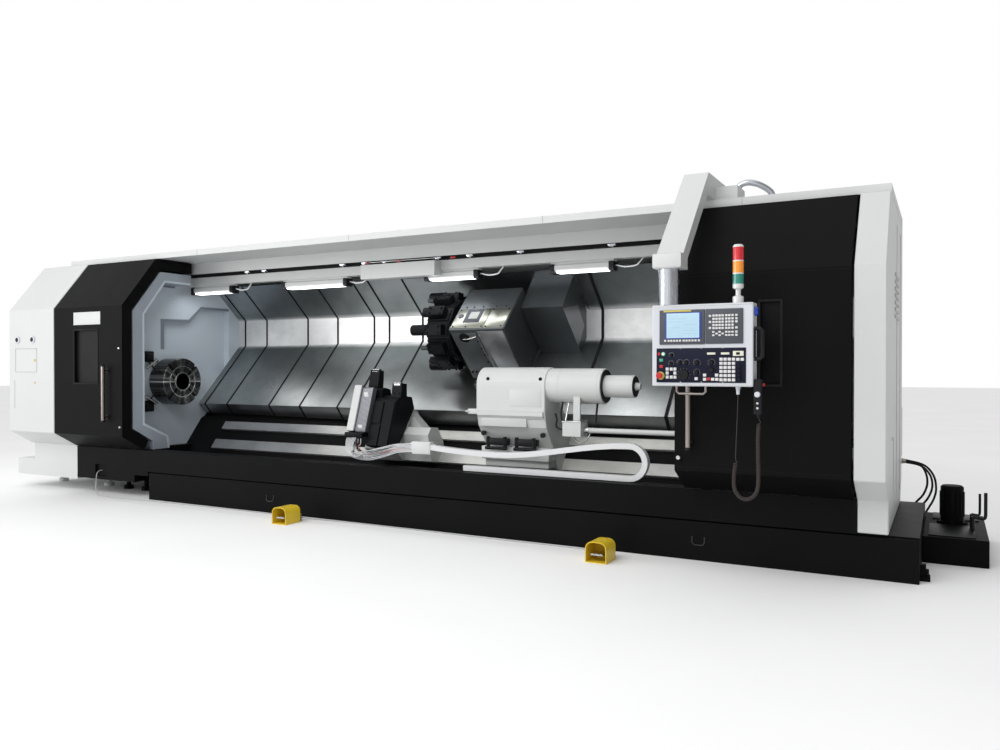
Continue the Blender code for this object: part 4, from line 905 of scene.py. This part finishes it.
for name, x, low, high in (("left", -3.01, 0.83, 1.41), ("right", 3.15, 0.83, 1.43)):
    form = Form()
    for z in (low + 0.05, high - 0.05):
        form.cap([(0.022, 0), (0.022, 0.006)], (x, FRONT_Y, z), "Y", 14, 0.008)
    for z in (low, high):
        form.cap([(0.0195, -0.006), (0.0195, 0.014)], (x, -0.855, z), "Z", 16)
    form.done(f"{name}_handle_ends", KNOB, f"{name}_door_body")

# Headstock, chuck and nozzles
# Painted shade: thin dark discs on the chuck's face for its bolt holes, and one deep in the bore.
form = Form()
for radius in (0.135, 0.215):
    for y, z in circle(12, radius, 15):
        form.disc(0.01, 0.0012, (CHUCK_X, y, AXIS_Z + z), "X", 12)
form.cap([(0.084, 0)], (-2.929, 0, AXIS_Z), "X", 24, 0.001)
form.done("chuck_hole_shade", HOLE, "spindle", 0)
form = Form()
for radius in (0.1, 0.172):
    inner, outer = radius - 0.004, radius + 0.004
    form.turned([(inner, 0), (inner + 0.001, 0.0015), (outer - 0.001, 0.0015), (outer, 0), (inner, 0)],
                (CHUCK_X - 0.0005, 0, AXIS_Z), "X", 40)
form.done("chuck_rings", BRIGHT, "spindle")
form = Form()
for z, way in ((1.515, -1), (0.968, 1)):
    form.box((WALL_X + 0.0005, -0.35, z - 0.06), (-3.01, -0.215, z + 0.06), 0.012)
    form.box((-3.015, -0.33, z - 0.035), (-2.985, -0.24, z + 0.035), 0.01)
    form.tube([(-3.005, -0.3, z + 0.05 * way), (-2.985, -0.25, z + 0.12 * way),
               (-2.98, -0.215, z + 0.17 * way)], 0.009)
form.done("coolant_nozzles", KNOB, "base")
form = Form()
form.rod(0.013, (-3.005, -0.325, 1.385), (-2.975, -0.215, 1.47), 14)
form.rod(0.013, (-3.005, -0.335, 1.085), (-2.975, -0.225, 1.0), 14)
form.rod(0.018, (-2.98, -0.232, 1.456), (-2.972, -0.204, 1.479), 14)
form.rod(0.018, (-2.98, -0.24, 1.012), (-2.972, -0.212, 0.99), 14)
form.done("nozzle_arms", BRIGHT, "base")
RECESS_LINE = ((-0.1, 1.62), (-0.1, 1.94), (0.29, 1.95), (0.47, 2.11), (0.9, 2.11))
form = Form()
for first, second in zip(RECESS_LINE, RECESS_LINE[1:]):
    form.rod(0.004, (WALL_X + 0.001, *first), (WALL_X + 0.001, *second), 8)
form.done("recess_lip", GREY, "base")
# Painted shade: a dark strip on the headstock wall along the recess edge.
form = Form()
form.prism([(-0.1, 1.6), (-0.055, 1.6), (-0.055, 1.915), (0.3, 1.92), (0.48, 2.085), (0.9, 2.085),
            (0.9, 2.108), (0.47, 2.108), (0.29, 1.948), (-0.1, 1.938)], WALL_X + 0.0003, WALL_X + 0.0015)
form.done("recess_shade", PAINTED_SHADE_GREY, "base", 0)
form = Form()
for y, z in ((-0.3, 1.98), (-0.12, 2.15), (0.02, 2.2), (0.49, 2.135), (-0.18, 2.24), (-0.05, 1.6),
             (0.95, 1.25)):
    form.bolt((WALL_X, y, z), "X", 0.008, 0.005)
form.done("wall_screws", CASE, "base")

# Telescopic covers: a cover lies one step further out than the one inside it
LEFT_EDGES = (-2.931, -2.567, -1.911, -1.457, -0.931, -0.718)
RIGHT_EDGES = (2.62, 3.1, 3.6)
CARRIAGE_EDGES = (("left", -0.271), ("right", 1.8))
CARRIAGE_LAYER = 7
LAYER_STEP = 0.008
LIP_OUT, LIP_IN = 0.0015, 0.0045
LIP_LEFT, LIP_RIGHT = 0.016, 0.01
COVER_LINE = ((0.523, 0.864), (0.436, 0.974), (1.075, 1.657), (1.075, 1.975), (0.66, 2.353))


def offset_line(points, distance):
    """The (y, z) line moved sideways by a distance, with its corners mitred."""
    moved = []
    for i, point in enumerate(points):
        normals = []
        for j in (i - 1, i):
            if 0 <= j < len(points) - 1:
                run = Vector(points[j + 1]) - Vector(points[j])
                normals.append(Vector((run.y, -run.x)).normalized())
        mean = sum(normals, Vector((0, 0))) / len(normals)
        shift = mean * (distance / mean.length_squared)
        moved.append((point[0] + shift.x, point[1] + shift.y))
    return moved


def strip(name, finish, body, line, outer, inner, low, high):
    """A flat strip between two lines beside a line of (y, z) places."""
    form = Form()
    form.prism(offset_line(line, outer) + offset_line(line, inner)[::-1], low, high)
    form.done(name, finish, body, 0)


def wiper(name, x, layer, body):
    """The black rubber lip along a cover's open edge."""
    out = -layer * LAYER_STEP
    strip(name, RUBBER, body, COVER_LINE, out - LIP_OUT, out + LIP_IN, x - LIP_LEFT, x + LIP_RIGHT)


for i, x in enumerate(LEFT_EDGES):
    wiper(f"wiper_left_{i + 2}", x, i + 1, f"left_leaf_{i + 2}")
for side, x in CARRIAGE_EDGES:
    wiper(f"wiper_carriage_{side}", x, CARRIAGE_LAYER, "carriage")
for i, x in enumerate(RIGHT_EDGES):
    wiper(f"wiper_right_{i + 1}", x, CARRIAGE_LAYER - 1 - i, f"right_leaf_{i + 1}")

# Mouth of the headstock frame: a painted highlight along its inner edge, and a painted shadow on the wall
# behind it
MOUTH_X = -2.79
MOUTH_EDGE = 0.022
MOUTH = ((0.1, 2.32), (-0.25, 2.32), (-0.52, 1.96), (-0.52, 0.8), (-0.22, 0.655), (-0.2, 0.516))
strip("frame_edge_highlight", LIT_WALL_GREY, "base", MOUTH, 0, MOUTH_EDGE, MOUTH_X - 0.0004, MOUTH_X + 0.001)
strip("frame_gap_shadow", PAINTED_SHADE_GREY, "base", MOUTH, 0, -MOUTH_EDGE, WALL_X + 0.0003, WALL_X + 0.0012)

# Turret: its axis lies this far up the slant
TURRET_UP = 0.728
STATIONS = 12
TURRET_Y = TURRET_UP * HALF
TURRET_Z = AXIS_Z + TURRET_UP * HALF
tools = Form()
shanks = Form()
for i in range(STATIONS):
    turn = Matrix.Translation((0, TURRET_Y, TURRET_Z)) @ Matrix.Rotation(2 * math.pi * i / STATIONS, 4, "X")
    tools.box((0.3, -0.066, 0.27), (0.54, 0.066, 0.3), 0.008, turn)
    for x, y in product((0.355, 0.475), (-0.03, 0.03)):
        tools.disc(0.012, 0.01, (x, y, 0.375), "Z", 10, None, turn)
    if i % 3 == 0:
        tools.cap([(0.052, 0), (0.052, 0.16), (0.045, 0.17)], (0.17, 0, 0.335), "X", 20, None, turn)
    elif i % 3 == 1:
        shanks.box((0.24, -0.018, 0.325), (0.34, 0.018, 0.355), 0.003, turn)
    else:
        tools.box((0.27, -0.04, 0.31), (0.33, 0.04, 0.374), 0.008, turn)
tools.done("turret_tooling", TOOLING, "turret_disc")
shanks.done("turret_shanks", OILED, "turret_disc")
form = Form()
for y, z in circle(STATIONS, 0.215, 15):
    form.bolt((0.2995, TURRET_Y + y, TURRET_Z + z), "X", 0.014, 0.001)
form.done("turret_bolts", OILED, "turret_disc")

# Turret housing, in the slant's own frame
TOP = 0.292
FRONT = 0.424
PLATES = (
    ("housing_cover", PLATE, (0.64, 0.44, TOP), (0.985, 0.705, TOP + 0.006), 0.002),
    ("housing_cover_right", PLATE, (0.99, 0.44, TOP), (1.192, 0.705, TOP + 0.005), 0.002),
    # The window's glow is painted light, with no lamp behind it.
    ("housing_window", PAINTED_WINDOW_GLOW, (0.785, 0.56, TOP + 0.009), (0.88, 0.655, TOP + 0.0125), 0.002),
    ("housing_front_plate", OILED, (0.64, FRONT, -0.28), (0.9, 0.4302, 0.24), 0.003),
    ("housing_side_plate", FACED, (0.915, 0.426, -0.3), (1.185, 0.4302, 0.26), 0.003),
)
for name, finish, low, high, bevel in PLATES:
    boxes(name, finish, "cross_slide", [(low, high, bevel)], SLIDE)
boxes("slide_skirt", OILED, "carriage", [((0.655, 0.395, -0.425), (1.17, 0.425, -0.365), 0.004)], SLIDE)
form = Form(SLIDE)
form.box((0.742, 0.515, TOP + 0.004), (0.912, 0.692, TOP + 0.011), 0.003)
form.disc(0.03, 0.005, (0.69, 0.605, TOP + 0.005), "Z", 20, 0.027)
form.done("housing_window_frame", DARK_UNIT, "cross_slide")
form = Form(SLIDE)
for x, u in ((0.66, 0.46), (0.66, 0.69), (0.8, 0.455), (0.965, 0.455), (0.965, 0.69), (1.01, 0.455),
             (1.17, 0.455), (1.17, 0.69), (1.01, 0.69)):
    form.bolt((x, u, TOP + 0.005), "Z", 0.009, 0.005)
for x in (0.7, 0.78, 0.88, 1.02, 1.12):
    form.bolt((x, 0.735, TOP), "Z", 0.008, 0.005)
form.done("housing_screws", KNOB, "cross_slide")
form = Form(SLIDE)
for k in range(6):
    form.bolt((0.66 + 0.044 * k, FRONT, -0.265), "Y", 0.011, 0.007)
for k in range(5):
    form.bolt((0.885, FRONT, -0.22 + 0.09 * k), "Y", 0.01, 0.007)
form.done("housing_front_bolts", KNOB, "cross_slide")
Form(SLIDE).disc(0.055, 0.012, (0.76, FRONT, 0.19), "Y", 24, 0.05).done("housing_port", HOLE, "cross_slide")
form = Form()
for pipe in (
    ((0.74, 0.417, 0.175), (0.8, 0.408, 0.185), (0.89, 0.417, 0.205)),
    ((0.905, 0.42, 0.2), (0.905, 0.416, 0.05), (0.935, 0.416, -0.2), (0.95, 0.42, -0.3)),
):
    form.tube([SLIDE @ Vector(spot) for spot in pipe], 0.006)
form.done("housing_pipes", BRIGHT, "cross_slide")


# Carriage hood
def on_slant(t, out):
    """A place on the hood's upper slant: t from the band (0) to the top (1)."""
    line = offset_line(COVER_LINE, -CARRIAGE_LAYER * LAYER_STEP - out)
    a, b = Vector(line[3]), Vector(line[4])
    return tuple(a + (b - a) * t)


def slant_strip(form, t0, t1, proud, low, high):
    """A strip proud of that slant, between two X places."""
    form.prism([on_slant(t0, 0), on_slant(t1, 0), on_slant(t1, proud), on_slant(t0, proud)], low, high)


form = Form()
form.prism([(0.452, 1.936), (0.8, 1.985), (0.96, 1.8), (0.82, 1.59)], 1.6298, 1.632)
form.done("hood_end_plate", FACED, "carriage")
form = Form()
for x in (0.55, 1.66):
    slant_strip(form, 0.02, 0.98, 0.003, x, x + 0.006)
slant_strip(form, 0.3, 0.34, 0.022, 0.556, 1.66)
form.done("carriage_ledge", OILED, "carriage", 0)

# Tailstock
form = Form()
for x in (1.182, 1.69):
    form.disc(0.016, 0.004, (x, -0.146, 1.295), "Y", 14)
form.disc(0.14, 0.004, (2.2252, 0, AXIS_Z), "X", 40, 0.138)
form.disc(0.086, 0.004, (2.4802, 0, AXIS_Z), "X", 32, 0.084)
form.done("tail_end_plates", TOOLING, "tailstock_body")
form = Form()
BANDS = ((1.835, 0.148, 0.009, 40), (2.19, 0.148, 0.009, 40), (2.46, 0.092, 0.007, 32))
for x, radius, width, segments in BANDS:
    form.turned([(radius, 0), (radius + 0.0015, 0.001), (radius + 0.0015, width - 0.001), (radius, width),
                 (radius, 0)], (x, 0, AXIS_Z), "X", segments)
form.box((1.4, -0.1595, 1.058), (1.7, -0.1565, 1.205), 0.0012)
form.done("tail_bands", WHITE, "tailstock_body")
form = Form()
form.prism([(-0.158, 1.02), (-0.172, 1.012), (-0.172, 0.98), (-0.15, 0.955), (-0.135, 0.955)], 1.085, 1.72)
form.box((1.11, -0.15, 0.88), (1.56, -0.118, 1.02), 0.008)
form.done("tail_skirt", CAST_WHITE, "tailstock_body")
form = Form()
for x in (1.15, 1.43):
    form.box((x, -0.13, 0.715), (x + 0.21, -0.06, 0.775), 0.008)
    for k in (0.02, 0.185):
        form.rod(0.018, (x + k, -0.118, 0.675), (x + k, -0.118, 0.79), 14)
    form.rod(0.014, (x, -0.132, 0.69), (x + 0.21, -0.132, 0.69), 12)
for x in (1.112, 1.69):
    form.cap([(0.022, 0), (0.022, 0.018)], (x, -0.09, 0.815), "Y", 16, 0.02)
form.done("tail_clamps", KNOB, "tailstock_body")
boxes("tail_foot", CAST_WHITE, "tailstock_body",
      [((1.072, -0.07, 0.585), (1.733, 0.06, 0.7), 0.01), ((1.09, -0.03, 0.52), (1.715, 0.11, 0.6), 0.01)])
boxes("tail_bracket", WHITE, "tailstock_body",
      [((0.985, -0.16, 0.985), (1.085, -0.1, 1.03), 0.004),
       ((0.965, -0.17, 1.0), (1.0, -0.09, 1.016), 0.003)])
form = Form()
form.tube([(1.86, -0.06, 1.1), (1.86, -0.1, 1.02), (1.9, -0.15, 0.93), (1.945, -0.17, 0.9)], 0.009)
form.tube([(2.16, -0.03, 1.095), (2.165, -0.06, 1.03), (2.17, -0.1, 0.93)], 0.009)
form.tube([(1.8, -0.08, 1.0), (1.84, -0.14, 0.96), (1.84, -0.15, 0.9), (1.9, -0.16, 0.875),
           (1.945, -0.17, 0.87)], 0.008)
form.done("tail_pipes", KNOB, "tailstock_body")
form = Form()
form.rod(0.027, (2.098, -0.175, 0.88), (2.145, -0.175, 0.88), 16)
form.rod(0.008, (1.915, -0.13, 0.945), (1.915, -0.06, 1.1), 10)
form.tube([(2.0, -0.18, 0.832), (2.03, -0.18, 0.79), (2.09, -0.18, 0.78), (2.14, -0.18, 0.82),
           (2.16, -0.14, 0.9)], 0.006)
form.box((1.935, -0.255, 0.945), (2.105, -0.095, 0.955), 0.003)
form.done("tail_fittings", BRIGHT, "tailstock_body")

# Steady rest: its valve rack leans back from its foot
RACK_FOOT = Vector((0, -0.245, 0.79))
RACK_LEAN = Vector((0, -0.115, 1.205)) - RACK_FOOT
rack_up = RACK_LEAN.normalized()
proud = Vector((0, -rack_up.z, rack_up.y)) * 0.002
form = Form()
for k in range(9):
    x = -0.194 + 0.013 * k
    form.rod(0.003, Vector((x, -0.245, 0.8)) + proud, Vector((x, -0.117, 1.195)) + proud, 8)
form.done("valve_ribs", CASE, "steady")
form = Form()
form.prism([(-0.2668, 0.8), (-0.1318, 1.2255), (-0.13, 1.225), (-0.265, 0.7995)], -0.288, -0.208)
form.done("valve_side", WHITE, "steady")
form = Form()
for part, half in ((0.84, 0.022), (0.12, 0.016)):
    spot = RACK_FOOT + RACK_LEAN * part
    form.box((-0.17, spot.y - 0.012, spot.z - half), (-0.12, spot.y - 0.003, spot.z + half), 0.002)
form.done("valve_blank_tags", KEY, "steady")
form = Form()
form.rod(0.032, (-0.196, 0.048, 1.35), (-0.124, 0.048, 1.35), 18)
form.rod(0.026, (0.085, 0.01, 1.232), (0.155, 0.01, 1.232), 18)
form.done("steady_rollers", BRIGHT, "steady")
form = Form()
for x, y, z in ((-0.16, 0.046, 1.35), (0.12, 0.008, 1.232)):
    for start in (x - 0.052, x + 0.04):
        form.rod(0.014, (start, y, z), (start + 0.012, y, z), 12)
for x, z in ((-0.192, 1.215), (-0.128, 1.215), (0.09, 1.15), (0.15, 1.15)):
    form.bolt((x, -0.028, z), "Y", 0.009, 0.008)
form.done("steady_pins", KNOB, "steady")
form = Form()
form.prism([(-0.241, 0.665), (-0.252, 0.668), (-0.188, 0.858), (-0.178, 0.855)], -0.068, 0.048)
form.prism([(-0.172, 0.87), (-0.182, 0.874), (-0.117, 1.07), (-0.107, 1.066)], -0.064, 0.04)
form.prism([(-0.241, 0.665), (-0.25, 0.668), (-0.117, 1.07), (-0.107, 1.066)], 0.062, 0.166)
form.box((-0.285, -0.3, 0.735), (-0.078, -0.19, 0.785), 0.008)
form.done("steady_plates", TOOLING, "steady")
form = Form()
form.prism([(-0.2222, 0.73), (-0.2262, 0.731), (-0.2062, 0.795), (-0.2022, 0.794)], 0.1, 0.122)
form.done("steady_blank_badge", BRIGHT, "steady")

# Cable looms from the valve rack to the junction box, each with its places and their step per cable
LOOMS = (
    ("cable_loom", HOSE_WHITE, 7, 0.0046, (
        ((-0.26, -0.28, 0.76), (0.018, 0, 0)),
        ((-0.262, -0.3, 0.69), (0.018, -0.005, 0)),
        ((-0.235, -0.32, 0.61), (0.02, -0.01, -0.004)),
        ((-0.13, -0.345, 0.556), (0.016, -0.01, 0.004)),
        ((0.06, -0.365, 0.548), (0, -0.01, 0.013)),
        ((0.25, -0.38, 0.592), (0, -0.005, 0.014)),
        ((0.42, -0.405, 0.64), (0, -0.01 / 3, 0.012)),
        ((0.592, -0.415, 0.655), (0, -0.01 / 3, 0.011)),
    )),
    ("cable_loom_dark", CABLE_GREY, 4, 0.005, (
        ((-0.2, -0.27, 0.76), (0.03, 0, 0)),
        ((-0.19, -0.29, 0.68), (0.03, 0, 0)),
        ((-0.12, -0.335, 0.585), (0, -0.024, 0.008)),
        ((0.05, -0.36, 0.552), (0, -0.025, 0.026)),
        ((0.28, -0.38, 0.606), (0, -0.014, 0.022)),
        ((0.45, -0.405, 0.65), (0, 0, 0.019)),
        ((0.592, -0.41, 0.656), (0, 0, 0.022)),
    )),
    ("cable_loom_thin", RUBBER, 3, 0.0035, (
        ((-0.17, -0.27, 0.76), (0.02, 0, 0)),
        ((-0.165, -0.29, 0.7), (0.02, 0, 0)),
        ((-0.06, -0.345, 0.63), (0, -0.02, 0)),
        ((0.12, -0.37, 0.62), (0, -0.02, 0.01)),
        ((0.33, -0.392, 0.655), (0, -0.01, 0.012)),
        ((0.46, -0.406, 0.684), (0, 0, 0.012)),
        ((0.592, -0.412, 0.68), (0, 0, 0.018)),
    )),
)
for name, finish, count, radius, places in LOOMS:
    form = Form()
    for k in range(count):
        form.tube([Vector(place) + k * Vector(step) for place, step in places], radius, 8)
    form.done(name, finish, "steady")
form = Form()
form.tube([(-0.15, -0.27, 0.76), (-0.145, -0.29, 0.7), (0, -0.365, 0.6), (0.2, -0.395, 0.618),
           (0.4, -0.412, 0.668), (0.592, -0.42, 0.69)], 0.003, 8)
form.done("cable_loom_red", RED, "steady")
form = Form()
for k in range(4):
    form.rod(0.01, (0.56, -0.42, 0.657 + 0.022 * k), (0.5905, -0.42, 0.657 + 0.022 * k), 12)
form.rod(0.024, (0.778, -0.42, 0.702), (0.822, -0.42, 0.702), 16)
form.done("loom_glands", CASE, "steady")
boxes("junction_lid", WHITE, "steady", [((0.596, -0.4575, 0.647), (0.774, -0.4548, 0.739), 0.0012)])

# Cable carrier's dark edge: a low run that rises to the loop, the half turn, and the run back below
CARRIER_Y = -0.386
LOOP_X = 2.583
LOOP_RADIUS = 0.125
LOOP_Z = 0.515 + 0.0053 + 0.022 + LOOP_RADIUS
RUN_X = 0.78
RISE_X = 1.45
RUN_Z = 0.668
END_RISE, END_RUN = 0.034, 0.69
PLACES = 15
edge_line = []
for i in range(PLACES):
    x = RUN_X + (LOOP_X - RUN_X) * i / PLACES
    if x < RISE_X:
        z = RUN_Z + END_RISE * ((RISE_X - x) / END_RUN) ** 2
    else:
        part = (x - RISE_X) / (LOOP_X - RISE_X)
        z = RUN_Z + (LOOP_Z + LOOP_RADIUS - RUN_Z) * (3 * part ** 2 - 2 * part ** 3)
    edge_line.append((x, CARRIER_Y, z))
for i in range(PLACES):
    angle = math.pi / 2 - math.pi * i / (PLACES - 1)
    across, rise = LOOP_RADIUS * math.cos(angle), LOOP_RADIUS * math.sin(angle)
    edge_line.append((LOOP_X + across, CARRIER_Y, LOOP_Z + rise))
edge_line.append((1.12, CARRIER_Y, LOOP_Z - LOOP_RADIUS))
Form().tube(edge_line, 0.0195, 8, False).done("carrier_back", RUBBER, "steady")

# Plinth, tank and right end
TANK_TOP = 0.1895
form = Form()
for x in (-0.99, 3.14):
    form.tube([(x - 0.045, -0.54, 0.172), (x - 0.045, -0.545, 0.13), (x - 0.03, -0.545, 0.112),
               (x + 0.03, -0.545, 0.112), (x + 0.045, -0.545, 0.13), (x + 0.045, -0.54, 0.172)],
              0.004, 8, False)
form.done("plinth_grips", DARK_SEAM, "base")
form = Form()
form.rod(0.012, (4.606, -0.395, 0.029), (4.606, -0.395, 0.075), 12)
form.rod(0.018, (4.606, -0.395, 0.029), (4.606, -0.395, 0.042), 6)
form.done("plinth_screw", TOOLING, "base")
form = Form()
form.tube([(4.885, 0.5, 0.3), (4.95, 0.5, 0.29), (4.968, 0.5, 0.32), (4.968, 0.5, 0.48)], 0.012)
form.tube([(4.88, 0.62, 0.3), (4.925, 0.62, 0.295), (4.935, 0.62, 0.33), (4.935, 0.62, 0.455)], 0.009)
form.rod(0.014, (4.885, 0.5, TANK_TOP - 0.0005), (4.885, 0.5, 0.302), 12)
form.rod(0.01, (4.88, 0.62, TANK_TOP - 0.0005), (4.88, 0.62, 0.302), 12)
form.done("tank_pipes", KNOB, "base")
PUMP = Vector((4.755, 0.8, 0))
form = Form()
form.box((4.6, 0.2, TANK_TOP), (4.9, 0.7, 0.198), 0.002)
form.box((4.62, 0.95, TANK_TOP), (4.94, 1.24, 0.2), 0.002)
for x, y in circle(8, 0.094):
    form.bolt(PUMP + Vector((x, y, 0.211)), "Z", 0.008, 0.008)
for k in range(16):
    turn = Matrix.Translation(PUMP) @ Matrix.Rotation(2 * math.pi * k / 16, 4, "Z")
    form.box((-0.002, 0.079, 0.25), (0.002, 0.086, 0.44), 0, turn)
form.done("tank_details", TOOLING, "base")
END_X = 4.384
form = Form()
for k in range(7):
    form.box((END_X, 0.1, 1.75 + 0.05 * k), (END_X + 0.009, 0.6, 1.775 + 0.05 * k), 0.003)
for y0, z0, y1, z1 in ((-0.35, 0.9, -0.05, 0.905), (-0.05, 0.5, -0.045, 0.905), (0.35, 0.42, 0.355, 2.45),
                       (0.85, 0.42, 0.855, 2.45)):
    form.box((END_X, y0, z0), (END_X + 0.004, y1, z1))
form.done("end_panels", PALE_SEAM, "base", 0)
boxes("roof_seams", SEAM, "base",
      [((x, -0.341, 2.576), (x + 0.004, 1.2, 2.6315)) for x in (-2.2, -0.2, 1.8, 3.4)], None, 0)

# Arm and its conduit
Form().tube(CONDUIT, 0.0236, 14, True, 0.0045).done("arm_conduit", TUBE, "base")
boxes("arm_cover_plate", WHITE, "base", [((3.015, -1.225, 2.045), (3.205, -1.2195, 2.13), 0.002)])

# Pedals
for n, x, y in ((1, -0.5, -0.945), (2, 2.52, -0.975)):
    boxes(f"pedal_ribs_{n}", BRIGHT, f"pedal_body_{n}",
          [((x + k - 0.004, y + 0.022, 0.0615), (x + k + 0.004, y + 0.14, 0.064), 0.001)
           for k in (-0.03, 0, 0.03)])
    form = Form()
    for across, along, z in ((0.025, (0.05, 0.15), 0.15), (0.036, (0.215, 0.234), 0.0625)):
        for side, back in product((-across, across), along):
            form.bolt((x + side, y + back, z), "Z", 0.005, 0.003)
    form.done(f"pedal_bolts_{n}", BRIGHT, "base")
    boxes(f"switch_case_{n}", DARK_UNIT, "base",
          [((x - 0.0456, y + 0.1905, 0.0005), (x + 0.0456, y + 0.2456, 0.0626), 0.004)])

# Studio
ground = bpy.data.meshes.new("studio_floor")
shape = bmesh.new()
bmesh.ops.create_grid(shape, x_segments=1, y_segments=1, size=60)
shape.to_mesh(ground)
shape.free()
floor_finish, tree = new_finish("studio_floor")
pale = ramp(tree, noise(tree, 0.6, 2), (0.93, 0.93, 0.93), (0.96, 0.96, 0.96))
ground.materials.append(look(floor_finish, Base_Color=pale, Roughness=0.9, Specular_IOR_Level=0.1))
floor = bpy.data.objects.new("studio_floor", ground)
floor.location = (0, 0, -0.0005)
scene.collection.objects.link(floor)

# Even light from the photo's side, dimmer from beyond the right end
world = bpy.data.worlds.new("studio")
world.use_nodes = True
tree = world.node_tree
side_light = spread(tree, axes_of(tree, "Generated")["X"], 1, 0.3, 0.04, 0.7)
fill(tree, tree.nodes["Background"], Color=(1, 1, 1, 1), Strength=side_light)
scene.world = world
scene.view_settings.view_transform = "Standard"


def area(name, at, aim, width, height, power):
    light = bpy.data.lights.new(name, "AREA")
    light.shape = "RECTANGLE"
    light.size = width
    light.size_y = height
    light.energy = power
    made = bpy.data.objects.new(name, light)
    made.location = at
    made.rotation_euler = (Vector(aim) - Vector(at)).to_track_quat("-Z", "Y").to_euler()
    scene.collection.objects.link(made)


area("key_light", (0.5, -7.0, 6.5), (0.0, 0.0, 1.0), 7, 3, 290)
area("band_light", (-7.3, -7.2, 2.5), (-0.8, 1.0, 1.8), 4, 2.4, 170)
area("work_light", (0.3, 0.16, 2.22), (0.3, 0.75, 1.2), 6.4, 0.06, 9)
